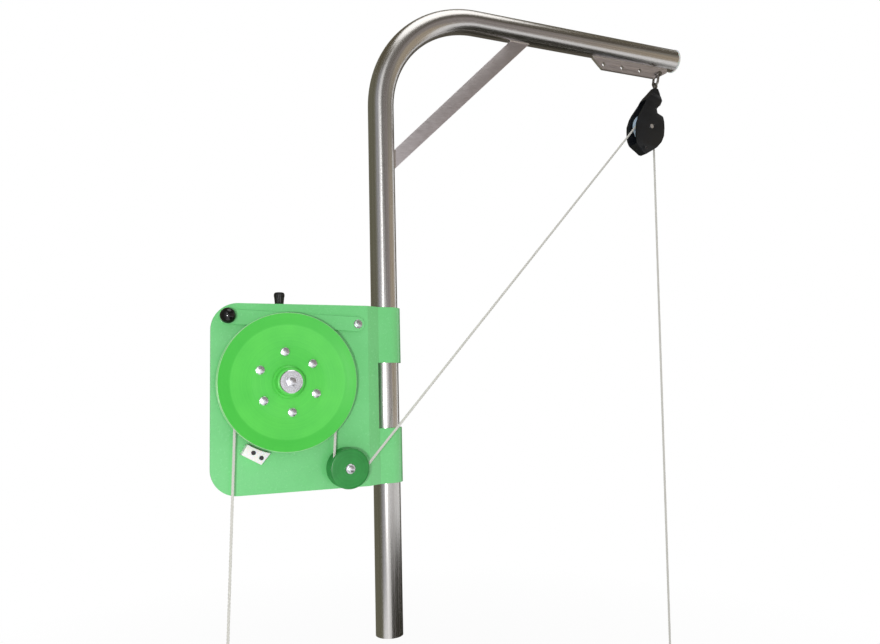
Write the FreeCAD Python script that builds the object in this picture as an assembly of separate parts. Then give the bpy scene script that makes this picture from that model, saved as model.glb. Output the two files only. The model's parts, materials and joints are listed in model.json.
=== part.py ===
"""Davit line hauler: a bent stainless pipe davit with a hanging snatch block, and a driven
V-groove hauling wheel on a sheet plate whose right edge is rolled into two pipe sleeves.

Millimetres. +X runs along the davit arm, +Z is up, -Y faces the side with the wheel.
The origin is the centre of the pipe's open foot.
"""
import FreeCAD, Part
import math
import os
from FreeCAD import Vector

# ---- driving dimensions -------------------------------------------------------------------
SEAT = 0.3                 # gap between curved pieces that bear on each other
RUNNING = 0.05             # radial clearance of a shaft in its bore
MOVE_GAP = 5.0             # free space round a moving piece

PIPE_D = 60.3              # outside diameter of the davit pipe
PIPE_WALL = 3.0
ARM_HEIGHT = 1442.0        # arm axis above the foot
ARM_REACH = 870.0          # open end of the arm from the upright's axis
BEND_R = 250.0             # bend radius at the pipe's axis

CAP_RIM = 4.5              # length of the end cap's rim outside the pipe
CAP_DOME = 4.0             # how far the cap's dome stands beyond its rim
CAP_PLUG = 22.0            # how far the cap's plug reaches into the pipe
CAP_LIP = 1.0              # cap's rim stands this far outside the pipe's wall

BRACE_ARM_X = 372.0        # where the brace's 45 degree line meets the arm's underside
BRACE_RISE = 16.5          # upper edge above that line, square to it
BRACE_FOOT_W = 32.0        # width at the post
BRACE_ARM_W = 39.0         # width at the arm
BRACE_THICK = 10.0
BRACE_GAP = 0.1            # weld root between the brace's ends and the pipe

HANGER_THICK = 8.0
HANGER_INSET = 23.0        # hanger's outer end before the end of the arm
HANGER_LENGTH = 247.0      # along the arm's underside
HANGER_SLANT_IN = 29.0     # how far its lower corners stand in from its ends
HANGER_SLANT_OUT = 40.0
HANGER_LIP_IN = 4.0        # height of its square ends above the slants
HANGER_LIP_OUT = 9.0
HANGER_DEPTH = 31.0
HANGER_HOLE_D = 11.0
HANGER_HOLES = 4
HANGER_PITCH = 60.0
HANGER_EDGE = 14.0         # hole centres above the hanger's lower edge
HANGER_END = 6.5           # last hole beyond the corner of the lower edge

SHEET = 5.0                # thickness of the plate and its rolled sleeves
PLATE_BOTTOM = 331.0
PLATE_TOP = 719.0
PLATE_LEFT = -385.0
PLATE_FRONT = -53.5        # Y of the plate's front face
PLATE_BEND_X = -56.0       # where the flat plate turns back towards the pipe
PLATE_CORNER_R = 55.0
UPPER_SLEEVE_H = 124.0     # height of the rolled sleeve at the top
LOWER_SLEEVE_H = 120.0
SLEEVE_SLOT = 14.0         # open slot where the rolled edge ends, at the back
JOGGLE_X = -26.0           # where the joggle meets the flat that runs on into the sleeves
WINDOW_X = -28.0           # left edge of the window between the sleeves

WHEEL_X = -235.0
WHEEL_Z = 556.0
GROOVE_Y = -79.5           # mid-plane of the rope's groove in the wheel and the idler
WHEEL_R = 141.0
DISC_THICK = 4.0
FLAT_R = 76.0              # radius of the discs' flat middle
CONE_R = 117.0             # where the shallow cone turns into the steep rim band
CONE_RISE = 5.0            # half the groove's width at CONE_R
RIM_RISE = 10.2            # half the groove's width at the rim
WHEEL_BOLT_PCD = 124.0
WHEEL_BOLTS = 6
WHEEL_BOLT_D = 10.0
WHEEL_BOLT_TURN = 36.5     # degrees from +X to the first bolt
WHEEL_BOLT_AF = 16.0       # across the flats of head and nut
WHEEL_BOLT_HEAD = 6.4
WHEEL_NUT = 5.0
BOSS_D = 56.0
BOSS_FRONT = 27.0          # how far the boss stands in front of the front disc
BOSS_FOOT = 6.0            # how far the boss's foot flares beyond its body
BACKING_D = 64.0           # spacer ring behind the rear disc
BACKING_NECK_D = 48.0
BACKING_DEPTH = 11.0
SHAFT_D = 25.0
SHAFT_CAP_D = 47.0
SHAFT_CAP_H = 5.0
SHAFT_BOLT_AF = 17.0
SHAFT_BOLT_H = 6.0

MOTOR_FLANGE = 104.0
MOTOR_FLANGE_T = 14.0
MOTOR_BODY_D = 92.0
MOTOR_BODY_L = 74.0
MOTOR_COVER_D = 84.0
MOTOR_COVER_L = 24.0
MOTOR_CORNER_R = 16.0

VALVE_W = 60.0             # flow valve block on the motor, along X
VALVE_DEPTH = 56.0
VALVE_H = 84.0
VALVE_X = -239.0
VALVE_SADDLE = 14.0        # how far the block's foot reaches down the motor's sides
PORT_HEIGHTS = (22.0, 60.0)  # of the hose unions above the motor
PORT_NUT = 12.0
PORT_NUT_AF = 27.0
PORT_STUB_D = 22.0
PORT_BORE_D = 10.0
PORT_DEPTH = 26.0
PORT_L = 22.0
BONNET_D = 30.0
BONNET_H = 14.0
SPINDLE_D = 10.0
KNOB_TOP_Z = 749.0
KNOB_H = 38.0
KNOB_TOP_D = 23.0
KNOB_FOOT_D = 17.0

LEVER_X = -80.0            # pivot of the front lever
LEVER_Z = 678.0
LEVER_LENGTH = 274.0       # pivot to knob
LEVER_TILT = 2.7           # degrees above level at rest
LEVER_WIDTH = 31.0
LEVER_THICK = 4.0
LEVER_GAP = 2.5            # washer between plate and lever
LEVER_KNOB_D = 32.0
LEVER_KNOB_NECK = 14.0
LEVER_KNOB_REACH = 30.0    # crown of the knob in front of the lever
LEVER_SHAFT_D = 14.0
LEVER_HOLE_GAP = 1.0       # round the shaft in the plate
LEVER_WASHER_D = 24.0
LEVER_WASHER_T = 1.5
LEVER_BOLT_H = 6.5
LEVER_BOLT_AF = 17.0
LEVER_VALVE_D = 40.0
LEVER_VALVE_L = 46.0

IDLER_X = -112.0
IDLER_Z = 375.0
IDLER_R = 42.0
IDLER_WIDTH = 38.0
IDLER_FLANGE = 5.0         # thickness of each flange at its rim
IDLER_AXLE_D = 12.0
IDLER_SPACER_D = 24.0
IDLER_HEAD_D = 19.0
IDLER_HEAD_H = 8.0
IDLER_WASHER_D = 24.0
IDLER_WASHER_T = 2.0
IDLER_NUT_H = 10.0
IDLER_END_GAP = 1.0        # between the roller and its washer or spacer

STRIPPER_THICK = 26.0

ROPE_D = 6.0
BLOCK_DROP = 169.0         # axle of the sheave below the shackle's pin, along the leaning block
BLOCK_OFFSET = 9.0         # the pin to the right of the block's own centre line
BLOCK_LEAN = 14.0          # degrees that the block is pulled over towards the wheel
CHEEK_THICK = 8.0
CHEEK_CORNER_R = 4.0
SHEAVE_R = 40.0
SHEAVE_WIDTH = 18.0
SHEAVE_SEAT_R = 27.0       # rope's centre line on the sheave
BLOCK_AXLE_D = 12.0
RIVET_STAND = 1.5          # how far the axle's ends stand out of the cheeks
EYE_BORE_D = 9.0           # swivel eye on the block's head
EYE_RING_D = 17.0
EYE_THICK = 3.6
EYE_NECK_D = 8.0
EYE_NECK_DEPTH = 10.0      # how far the eye's neck reaches into the head
CROWN_DROP = 33.0          # bow's crown below the shackle's pin
SHACKLE_D = 6.5
SHACKLE_HALF = 9.0         # bow's legs each side of the middle
SHACKLE_EAR_D = 14.0
SHACKLE_EAR_T = 7.0
SHACKLE_HEAD_D = 11.0
SHACKLE_HEAD_H = 3.0

IDLER_SEAT_R = 30.0        # rope's centre line on the idler
ROPE_LEFT_END = (-353.5, 42.0)    # X and Z of the hauled end
ROPE_RIGHT_END = (758.0, -145.0)  # X and Z of the end that runs to the water
KNOT_D = 20.0
KNOT_L = 30.0
LOOP_R = 24.0              # centre line of the eye below the right knot

# ---- derived places -----------------------------------------------------------------------
PIPE_R = PIPE_D / 2
ROPE_R = ROPE_D / 2
ARM_UNDERSIDE = ARM_HEIGHT - PIPE_R
SLEEVE_IN_R = PIPE_R + SEAT
SLEEVE_OUT_R = SLEEVE_IN_R + SHEET
PLATE_BACK = PLATE_FRONT + SHEET
CONE_ANGLE = math.atan(CONE_RISE / (CONE_R - FLAT_R))
WHEEL_SEAT_R = FLAT_R + (ROPE_R + SEAT) / math.sin(CONE_ANGLE)
DISC_BACK = GROOVE_Y + DISC_THICK       # rear face of the rear disc's flat middle
DISC_FRONT = GROOVE_Y - DISC_THICK
MOTOR_Y = PLATE_BACK                    # face where the motor's flange seats
BLOCK_GAP = SHEAVE_WIDTH + 2 * MOVE_GAP
X_AXIS = Vector(1, 0, 0)
Y_AXIS = Vector(0, 1, 0)
Z_AXIS = Vector(0, 0, 1)


# ---- helpers ------------------------------------------------------------------------------
def cylinder(diameter, start, end):
    """A round bar between two points."""
    a = Vector(*start)
    b = Vector(*end)
    return Part.makeCylinder(diameter / 2, (b - a).Length, a, b - a)


def turned(profile, centre, axis):
    """Revolve (radius, height) points about an axis through centre."""
    radial = X_AXIS if abs(axis.y) > 0.9 else axis.cross(Y_AXIS).normalize()
    points = [Vector(*centre) + radial * r + axis * h for r, h in profile]
    face = Part.Face(Part.makePolygon(points + points[:1]))
    return face.revolve(Vector(*centre), axis, 360)


def extruded(points, y0, y1):
    """A plate whose outline is given by (x, z) points, from y0 to y1."""
    wire = Part.makePolygon([Vector(x, y0, z) for x, z in points + points[:1]])
    return Part.Face(wire).extrude(Vector(0, y1 - y0, 0))


def box(x0, x1, y0, y1, z0, z1):
    return Part.makeBox(x1 - x0, y1 - y0, z1 - z0, Vector(x0, y0, z0))


def hexagon(across_flats, start, end):
    """A hexagonal bar between two points on a line along one axis."""
    a = Vector(*start)
    axis = Vector(*end) - a
    side = Vector(0, 0, 1) if abs(axis.z) < 0.5 else Vector(1, 0, 0)
    corner = side * (across_flats / math.sqrt(3))
    points = []
    for i in range(6):
        turn = FreeCAD.Rotation(axis, 60 * i)
        points.append(a + turn.multVec(corner))
    return Part.Face(Part.makePolygon(points + points[:1])).extrude(axis)


def edges_along(shape, axis):
    """The straight edges of a shape that run along an axis."""
    found = []
    for edge in shape.Edges:
        if edge.Curve.TypeId != "Part::GeomLine":
            continue
        if abs(edge.Curve.Direction.dot(axis)) > 0.999:
            found.append(edge)
    return found


# ---- davit --------------------------------------------------------------------------------
def davit_bar(radius):
    """A round bar along the davit's axis."""
    upright = cylinder(2 * radius, (0, 0, 0), (0, 0, ARM_HEIGHT - BEND_R))
    circle = Part.Circle(Vector(0, 0, ARM_HEIGHT - BEND_R), Z_AXIS, radius).toShape()
    disc = Part.Face(Part.Wire([circle]))
    bend = disc.revolve(Vector(BEND_R, 0, ARM_HEIGHT - BEND_R), Y_AXIS, 90)
    arm = cylinder(2 * radius, (BEND_R, 0, ARM_HEIGHT), (ARM_REACH, 0, ARM_HEIGHT))
    return upright, bend, arm


def davit_pipe():
    outer = davit_bar(PIPE_R)
    inner = davit_bar(PIPE_R - PIPE_WALL)
    walls = [a.cut(b) for a, b in zip(outer, inner)]
    return walls[0].fuse(walls[1:]).removeSplitter()


def arm_end_cap():
    bore = PIPE_R - PIPE_WALL - SEAT
    rim = PIPE_R + CAP_LIP
    profile = [(0, -CAP_PLUG), (bore, -CAP_PLUG), (bore, 0), (rim, 0), (rim, CAP_RIM)]
    steps = 5
    for i in range(1, steps + 1):
        angle = math.pi / 2 * i / steps
        profile.append((rim * math.cos(angle), CAP_RIM + CAP_DOME * math.sin(angle)))
    profile[-1] = (0, CAP_RIM + CAP_DOME)
    return turned(profile, (ARM_REACH, 0, ARM_HEIGHT), X_AXIS)


def arm_brace():
    """A flat bar at 45 degrees that widens towards the arm, cut to the two pipe walls."""
    run = PIPE_R
    a = (PIPE_R - run, ARM_UNDERSIDE - BRACE_ARM_X + PIPE_R - run)
    b = (BRACE_ARM_X + run, ARM_UNDERSIDE + run)

    def beside(point, distance):
        step = distance * math.sqrt(0.5)
        return point[0] + step, point[1] - step

    outline = [beside(a, BRACE_FOOT_W - BRACE_RISE), beside(b, BRACE_ARM_W - BRACE_RISE)]
    outline += [beside(b, -BRACE_RISE), beside(a, -BRACE_RISE)]
    bar = extruded(outline, -BRACE_THICK / 2, BRACE_THICK / 2)
    keep = box(0, ARM_REACH, -PIPE_D, PIPE_D, 0, ARM_HEIGHT)
    upright, bend, arm = davit_bar(PIPE_R + BRACE_GAP)
    return bar.common(keep).cut(upright).cut(arm)


def hanger_hole_x(index):
    last = ARM_REACH - HANGER_INSET - HANGER_SLANT_OUT + HANGER_END
    return last - HANGER_PITCH * (HANGER_HOLES - 1 - index)


def hanger_hole_z():
    return ARM_UNDERSIDE - HANGER_DEPTH + HANGER_EDGE


def hanger_plate():
    low = ARM_UNDERSIDE - HANGER_DEPTH
    outer = ARM_REACH - HANGER_INSET
    inner = outer - HANGER_LENGTH
    outline = [(inner, ARM_UNDERSIDE), (inner, ARM_UNDERSIDE - HANGER_LIP_IN)]
    outline += [(inner + HANGER_SLANT_IN, low), (outer - HANGER_SLANT_OUT, low)]
    outline += [(outer, ARM_UNDERSIDE - HANGER_LIP_OUT), (outer, ARM_UNDERSIDE)]
    plate = extruded(outline, -HANGER_THICK / 2, HANGER_THICK / 2)
    z = hanger_hole_z()
    for i in range(HANGER_HOLES):
        x = hanger_hole_x(i)
        plate = plate.cut(cylinder(HANGER_HOLE_D, (x, -HANGER_THICK, z), (x, HANGER_THICK, z)))
    return plate


# ---- mounting plate -----------------------------------------------------------------------
def sheet_section():
    """The sheet's outline seen from above: flat, joggle, then rolled round the pipe."""
    front = -SLEEVE_OUT_R
    back = -SLEEVE_IN_R
    stop = 180.0 - math.degrees(SLEEVE_SLOT / SLEEVE_OUT_R)

    def on(radius, degrees):
        a = math.radians(degrees)
        return Vector(radius * math.cos(a), radius * math.sin(a), 0)

    slope = math.atan2(front - PLATE_FRONT, JOGGLE_X - PLATE_BEND_X)
    shift = SHEET * math.tan(slope / 2)
    start = math.degrees(math.atan2(front, 0))
    outer_mid = on(SLEEVE_OUT_R, (start + stop) / 2)
    inner_mid = on(SLEEVE_IN_R, (start + stop) / 2)
    p = [
        Vector(PLATE_LEFT, PLATE_BACK, 0),
        Vector(PLATE_LEFT, PLATE_FRONT, 0),
        Vector(PLATE_BEND_X, PLATE_FRONT, 0),
        Vector(JOGGLE_X, front, 0),
        Vector(0, front, 0),
        on(SLEEVE_OUT_R, stop),
        on(SLEEVE_IN_R, stop),
        Vector(0, back, 0),
        Vector(JOGGLE_X - shift, back, 0),
        Vector(PLATE_BEND_X - shift, PLATE_BACK, 0),
    ]
    edges = [Part.LineSegment(p[i], p[i + 1]).toShape() for i in range(4)]
    edges.append(Part.Arc(p[4], outer_mid, p[5]).toShape())
    edges.append(Part.LineSegment(p[5], p[6]).toShape())
    edges.append(Part.Arc(p[6], inner_mid, p[7]).toShape())
    edges += [Part.LineSegment(p[i], p[i + 1]).toShape() for i in (7, 8)]
    edges.append(Part.LineSegment(p[9], p[0]).toShape())
    return Part.Face(Part.Wire(edges))


def mounting_plate():
    section = sheet_section()
    section.translate(Vector(0, 0, PLATE_BOTTOM))
    sheet = section.extrude(Vector(0, 0, PLATE_TOP - PLATE_BOTTOM))
    corners = [e for e in edges_along(sheet, Y_AXIS) if e.CenterOfMass.x < PLATE_LEFT + 1]
    sheet = sheet.makeFillet(PLATE_CORNER_R, corners)
    window_low = PLATE_BOTTOM + LOWER_SLEEVE_H
    window_high = PLATE_TOP - UPPER_SLEEVE_H
    reach = 2 * SLEEVE_OUT_R
    window = box(WINDOW_X, reach, -reach, reach, window_low, window_high)
    sheet = sheet.cut(window)
    through = (PLATE_FRONT - 1, PLATE_BACK + 1)
    holes = [(SHAFT_D + 2 * MOVE_GAP, WHEEL_X, WHEEL_Z)]
    holes.append((LEVER_SHAFT_D + 2 * LEVER_HOLE_GAP, LEVER_X, LEVER_Z))
    for d, x, z in holes:
        sheet = sheet.cut(cylinder(d, (x, through[0], z), (x, through[1], z)))
    return sheet


# ---- hauling wheel ------------------------------------------------------------------------
def wheel_bolt_places():
    """X and Z of each bolt that clamps the discs."""
    places = []
    for i in range(WHEEL_BOLTS):
        angle = math.radians(WHEEL_BOLT_TURN + 360 * i / WHEEL_BOLTS)
        r = WHEEL_BOLT_PCD / 2
        places.append((WHEEL_X + r * math.cos(angle), WHEEL_Z + r * math.sin(angle)))
    return places


def pressed_disc(side):
    """One dished disc. side is -1 for the front disc and +1 for the rear one."""
    bore = SHAFT_D / 2
    t = DISC_THICK
    inner = [(bore, 0), (FLAT_R, 0), (CONE_R, CONE_RISE), (WHEEL_R, RIM_RISE)]
    outer = [(WHEEL_R, RIM_RISE + t), (CONE_R - 0.8, CONE_RISE + t), (FLAT_R - 0.4, t), (bore, t)]
    disc = turned(inner + outer, (WHEEL_X, GROOVE_Y, WHEEL_Z), Y_AXIS * side)
    for x, z in wheel_bolt_places():
        hole = cylinder(WHEEL_BOLT_D, (x, DISC_FRONT - 1, z), (x, DISC_BACK + 1, z))
        disc = disc.cut(hole)
    return disc


def wheel_boss():
    """The turned boss in front of the discs that carries them on the shaft."""
    foot = BOSS_D / 2 + BOSS_FOOT
    profile = [(SHAFT_D / 2, 0), (foot, 0), (foot, 5), (BOSS_D / 2, 8)]
    profile += [(BOSS_D / 2, BOSS_FRONT - 2), (BOSS_D / 2 - 2, BOSS_FRONT)]
    profile += [(SHAFT_D / 2, BOSS_FRONT)]
    return turned(profile, (WHEEL_X, DISC_FRONT, WHEEL_Z), Y_AXIS * -1)


def wheel_backing():
    """The spacer ring behind the rear disc."""
    rim = BACKING_D / 2
    profile = [(SHAFT_D / 2, 0), (rim, 0), (rim, 4), (BACKING_NECK_D / 2, BACKING_DEPTH)]
    profile.append((SHAFT_D / 2, BACKING_DEPTH))
    return turned(profile, (WHEEL_X, DISC_BACK, WHEEL_Z), Y_AXIS)


def wheel_bolts():
    """The hexagon bolts that clamp the two discs."""
    bolts = []
    for x, z in wheel_bolt_places():
        head = hexagon(WHEEL_BOLT_AF, (x, DISC_FRONT, z), (x, DISC_FRONT - WHEEL_BOLT_HEAD, z))
        shank = cylinder(WHEEL_BOLT_D, (x, DISC_FRONT, z), (x, DISC_BACK, z))
        nut = hexagon(WHEEL_BOLT_AF, (x, DISC_BACK, z), (x, DISC_BACK + WHEEL_NUT, z))
        bolts.append(head.fuse([shank, nut]).removeSplitter())
    return Part.makeCompound(bolts)


def drive_shaft():
    end = MOTOR_Y + MOTOR_FLANGE_T
    start = DISC_FRONT - BOSS_FRONT
    return cylinder(SHAFT_D, (WHEEL_X, start, WHEEL_Z), (WHEEL_X, end, WHEEL_Z))


def shaft_cap():
    """Washer and centre bolt that hold the boss on the shaft."""
    face = DISC_FRONT - BOSS_FRONT
    r = SHAFT_CAP_D / 2
    profile = [(0, 0), (r, 0), (r, SHAFT_CAP_H - 1.5), (r - 1.5, SHAFT_CAP_H), (0, SHAFT_CAP_H)]
    washer = turned(profile, (WHEEL_X, face, WHEEL_Z), Y_AXIS * -1)
    seat = face - SHAFT_CAP_H
    head = hexagon(SHAFT_BOLT_AF, (WHEEL_X, seat, WHEEL_Z), (WHEEL_X, seat - SHAFT_BOLT_H, WHEEL_Z))
    return washer.fuse(head).removeSplitter()


# ---- drive behind the plate ---------------------------------------------------------------
def motor_flange():
    half = MOTOR_FLANGE / 2
    body = box(WHEEL_X - half, WHEEL_X + half, MOTOR_Y, MOTOR_Y + MOTOR_FLANGE_T,
               WHEEL_Z - half, WHEEL_Z + half)
    body = body.makeFillet(MOTOR_CORNER_R, edges_along(body, Y_AXIS))
    bore = cylinder(SHAFT_D + 2 * RUNNING, (WHEEL_X, MOTOR_Y, WHEEL_Z),
                    (WHEEL_X, MOTOR_Y + MOTOR_FLANGE_T, WHEEL_Z))
    return body.cut(bore)


def motor_body():
    y0 = MOTOR_Y + MOTOR_FLANGE_T
    r = MOTOR_BODY_D / 2
    bands = [(r, 0), (r, 30), (r - 4, 30), (r - 4, 33), (r, 33), (r, MOTOR_BODY_L)]
    return turned([(0, 0)] + bands + [(0, MOTOR_BODY_L)], (WHEEL_X, y0, WHEEL_Z), Y_AXIS)


def motor_cover():
    y0 = MOTOR_Y + MOTOR_FLANGE_T + MOTOR_BODY_L
    r = MOTOR_COVER_D / 2
    profile = [(0, 0), (r, 0), (r, MOTOR_COVER_L - 6), (r - 6, MOTOR_COVER_L)]
    return turned(profile + [(0, MOTOR_COVER_L)], (WHEEL_X, y0, WHEEL_Z), Y_AXIS)


def valve_foot_z():
    return WHEEL_Z + MOTOR_BODY_D / 2


def spindle_y():
    """The valve's spindle stands in the middle of its block."""
    return MOTOR_Y + MOTOR_FLANGE_T + SEAT + VALVE_DEPTH / 2


def flow_valve():
    """The valve block on top of the motor, its foot cut to the motor's round body."""
    z0 = valve_foot_z() - VALVE_SADDLE
    z1 = valve_foot_z() + VALVE_H
    x0 = VALVE_X - VALVE_W / 2
    y0 = spindle_y() - VALVE_DEPTH / 2
    block = box(x0, x0 + VALVE_W, y0, y0 + VALVE_DEPTH, z0, z1)
    block = block.makeChamfer(3, edges_along(block, Z_AXIS))
    motor = cylinder(MOTOR_BODY_D + 2 * SEAT, (WHEEL_X, y0 - 1, WHEEL_Z),
                     (WHEEL_X, y0 + VALVE_DEPTH + 1, WHEEL_Z))
    return block.cut(motor)


def valve_bonnet():
    y = spindle_y()
    z0 = valve_foot_z() + VALVE_H
    z1 = z0 + BONNET_H
    body = hexagon(BONNET_D, (VALVE_X, y, z0), (VALVE_X, y, z1))
    return body.cut(cylinder(SPINDLE_D + 2 * RUNNING, (VALVE_X, y, z0), (VALVE_X, y, z1)))


def valve_ports():
    """Hose unions on the valve block's rear face, left open for the supply hoses."""
    y0 = spindle_y() + VALVE_DEPTH / 2
    unions = []
    y1 = y0 + PORT_NUT
    for height in PORT_HEIGHTS:
        z = valve_foot_z() + height
        nut = hexagon(PORT_NUT_AF, (VALVE_X, y0, z), (VALVE_X, y1, z))
        stub = cylinder(PORT_STUB_D, (VALVE_X, y1, z), (VALVE_X, y1 + PORT_L, z))
        bore = cylinder(PORT_BORE_D, (VALVE_X, y1 + PORT_L - PORT_DEPTH, z), (VALVE_X, y1 + PORT_L, z))
        unions.append(nut.fuse(stub).removeSplitter().cut(bore))
    return Part.makeCompound(unions)


def knob_spindle():
    z0 = valve_foot_z() + VALVE_H
    return cylinder(SPINDLE_D, (VALVE_X, spindle_y(), z0), (VALVE_X, spindle_y(), KNOB_TOP_Z - KNOB_H))


def flow_knob():
    """The tapered knob with a crowned top."""
    foot = KNOB_FOOT_D / 2
    top = KNOB_TOP_D / 2
    crown = 5.0
    profile = [(0, 0), (foot - 1, 0), (foot, 1), (top, KNOB_H - crown)]
    steps = 4
    for i in range(1, steps):
        a = math.pi / 2 * i / steps
        profile.append((top - crown + crown * math.cos(a), KNOB_H - crown + crown * math.sin(a)))
    profile += [(top - crown, KNOB_H), (0, KNOB_H)]
    return turned(profile, (VALVE_X, spindle_y(), KNOB_TOP_Z - KNOB_H), Z_AXIS)


# ---- front lever --------------------------------------------------------------------------
def lever_bar():
    """A flat bar with round ends, drawn level and then tilted about its pivot."""
    y1 = PLATE_FRONT - LEVER_GAP
    y0 = y1 - LEVER_THICK
    half = LEVER_WIDTH / 2
    knob_x = LEVER_X - LEVER_LENGTH
    bar = box(knob_x, LEVER_X, y0, y1, LEVER_Z - half, LEVER_Z + half)
    for x in (knob_x, LEVER_X):
        bar = bar.fuse(cylinder(LEVER_WIDTH, (x, y0, LEVER_Z), (x, y1, LEVER_Z)))
    bar = bar.removeSplitter()
    bar = bar.cut(cylinder(LEVER_SHAFT_D, (LEVER_X, y0 - 1, LEVER_Z), (LEVER_X, y1 + 1, LEVER_Z)))
    bar.rotate(Vector(LEVER_X, 0, LEVER_Z), Y_AXIS, LEVER_TILT)
    return bar


def lever_knob_centre():
    angle = math.radians(LEVER_TILT)
    return (LEVER_X - LEVER_LENGTH * math.cos(angle), LEVER_Z + LEVER_LENGTH * math.sin(angle))


def lever_knob():
    """A ball knob on a short neck, standing on the lever's face."""
    face = PLATE_FRONT - LEVER_GAP - LEVER_THICK
    x, z = lever_knob_centre()
    r = LEVER_KNOB_D / 2
    centre_h = LEVER_KNOB_REACH - r
    ball = Part.makeSphere(r, Vector(x, face - centre_h, z))
    low = centre_h - math.sqrt(r * r - (LEVER_KNOB_NECK / 2) ** 2)
    neck = cylinder(LEVER_KNOB_NECK, (x, face, z), (x, face - max(low, 0) - 3, z))
    keep = box(x - r, x + r, face - LEVER_KNOB_REACH - 1, face, z - r, z + r)
    return ball.fuse(neck).common(keep).removeSplitter()


def lever_shaft():
    """Shaft through the plate, with the washer and bolt head that hold the lever."""
    face = PLATE_FRONT - LEVER_GAP - LEVER_THICK
    inner = PLATE_BACK + LEVER_VALVE_L / 2
    shaft = cylinder(LEVER_SHAFT_D, (LEVER_X, face, LEVER_Z), (LEVER_X, inner, LEVER_Z))
    seat = face - LEVER_WASHER_T
    washer = cylinder(LEVER_WASHER_D, (LEVER_X, face, LEVER_Z), (LEVER_X, seat, LEVER_Z))
    head = hexagon(LEVER_BOLT_AF, (LEVER_X, seat, LEVER_Z), (LEVER_X, seat - LEVER_BOLT_H, LEVER_Z))
    return shaft.fuse([washer, head]).removeSplitter()


def lever_valve():
    """The start valve behind the plate that the lever turns."""
    r = LEVER_VALVE_D / 2
    profile = [(0, 0), (r, 0), (r, 8), (r - 3, 8), (r - 3, LEVER_VALVE_L - 3)]
    profile += [(r - 6, LEVER_VALVE_L), (0, LEVER_VALVE_L)]
    body = turned(profile, (LEVER_X, PLATE_BACK, LEVER_Z), Y_AXIS)
    bore = cylinder(LEVER_SHAFT_D + 2 * RUNNING, (LEVER_X, PLATE_BACK - 1, LEVER_Z),
                    (LEVER_X, PLATE_BACK + LEVER_VALVE_L / 2 + 0.5, LEVER_Z))
    return body.cut(bore)


# ---- rope stripper ------------------------------------------------------------------------
# Corners from the wheel's centre, in wheel radii. The wheel's clearance cuts the upper side.
STRIPPER = [(-0.660, -1.007), (-0.383, -1.163), (-0.191, -0.936), (-0.106, -0.809)]
STRIPPER += [(-0.404, -0.695), (-0.546, -0.823)]


def rope_stripper():
    """A block on the plate under the wheel with a thin tongue in the groove's mouth."""
    outline = [(WHEEL_X + x * WHEEL_R, WHEEL_Z + z * WHEEL_R) for x, z in STRIPPER]
    clear = WHEEL_R + MOVE_GAP
    front = PLATE_FRONT - STRIPPER_THICK
    block = extruded(outline, front, PLATE_FRONT)
    wheel = cylinder(2 * clear, (WHEEL_X, front, WHEEL_Z), (WHEEL_X, PLATE_FRONT, WHEEL_Z))
    return block.cut(wheel)


# ---- idler --------------------------------------------------------------------------------
def idler_roller():
    """The turned idler: two flanges and a V groove with a round seat for the rope."""
    half = IDLER_WIDTH / 2
    bottom = IDLER_SEAT_R - ROPE_R - SEAT
    seat = ROPE_R + SEAT + 1.0
    bore = IDLER_AXLE_D / 2 + RUNNING
    rim = IDLER_R
    lip = half - IDLER_FLANGE
    profile = [(bore, -half), (rim - 2, -half), (rim, -half + 2), (rim, -lip)]
    profile += [(bottom + 2, -seat), (bottom, -seat + 2), (bottom, seat - 2), (bottom + 2, seat)]
    profile += [(rim, lip), (rim, half - 2), (rim - 2, half), (bore, half)]
    return turned(profile, (IDLER_X, GROOVE_Y, IDLER_Z), Y_AXIS)


def idler_axle():
    """Bolt through the plate with the spacer behind the roller and its head in front."""
    front = GROOVE_Y - IDLER_WIDTH / 2 - IDLER_END_GAP
    back = GROOVE_Y + IDLER_WIDTH / 2 + IDLER_END_GAP
    seat = front - IDLER_WASHER_T
    shank = cylinder(IDLER_AXLE_D, (IDLER_X, front, IDLER_Z), (IDLER_X, PLATE_FRONT, IDLER_Z))
    washer = cylinder(IDLER_WASHER_D, (IDLER_X, front, IDLER_Z), (IDLER_X, seat, IDLER_Z))
    head = hexagon(IDLER_HEAD_D, (IDLER_X, seat, IDLER_Z), (IDLER_X, seat - IDLER_HEAD_H, IDLER_Z))
    spacer = cylinder(IDLER_SPACER_D, (IDLER_X, back, IDLER_Z), (IDLER_X, PLATE_FRONT, IDLER_Z))
    return shank.fuse([washer, head, spacer]).removeSplitter()


def idler_nut():
    y = PLATE_BACK
    return hexagon(IDLER_HEAD_D, (IDLER_X, y, IDLER_Z), (IDLER_X, y + IDLER_NUT_H, IDLER_Z))


# ---- snatch block -------------------------------------------------------------------------
# Outlines from the sheave's axle on the upright block, in sheave radii.
HEAD_FOOT = 1.875          # where the head seats on the cheeks
HEAD_TOP = 3.125
FOOT_TOP = -1.55           # top of the spacer that joins the cheeks at the bottom
REACH = 3.5                # beyond every outline of the block
CHEEK = [(-0.075, -1.95), (0.15, -1.9), (0.775, -1.25), (1.075, -0.75), (1.2, -0.225)]
CHEEK += [(1.15, 0.3), (0.95, 1.15), (0.425, 1.2), (0.375, 1.55), (0.6, HEAD_FOOT)]
CHEEK += [(-0.575, HEAD_FOOT), (-1.125, 0.35), (-1.225, -0.25), (-1.1, -1.05), (-0.9, -1.55)]
HEAD = [(0.625, HEAD_FOOT), (0.75, 2.3), (0.7, 2.6), (0.55, 2.9), (0.375, HEAD_TOP)]
HEAD += [(0.1, HEAD_TOP), (-0.125, 2.75), (-0.3, 2.4), (-0.5, 2.05), (-0.575, HEAD_FOOT)]
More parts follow.
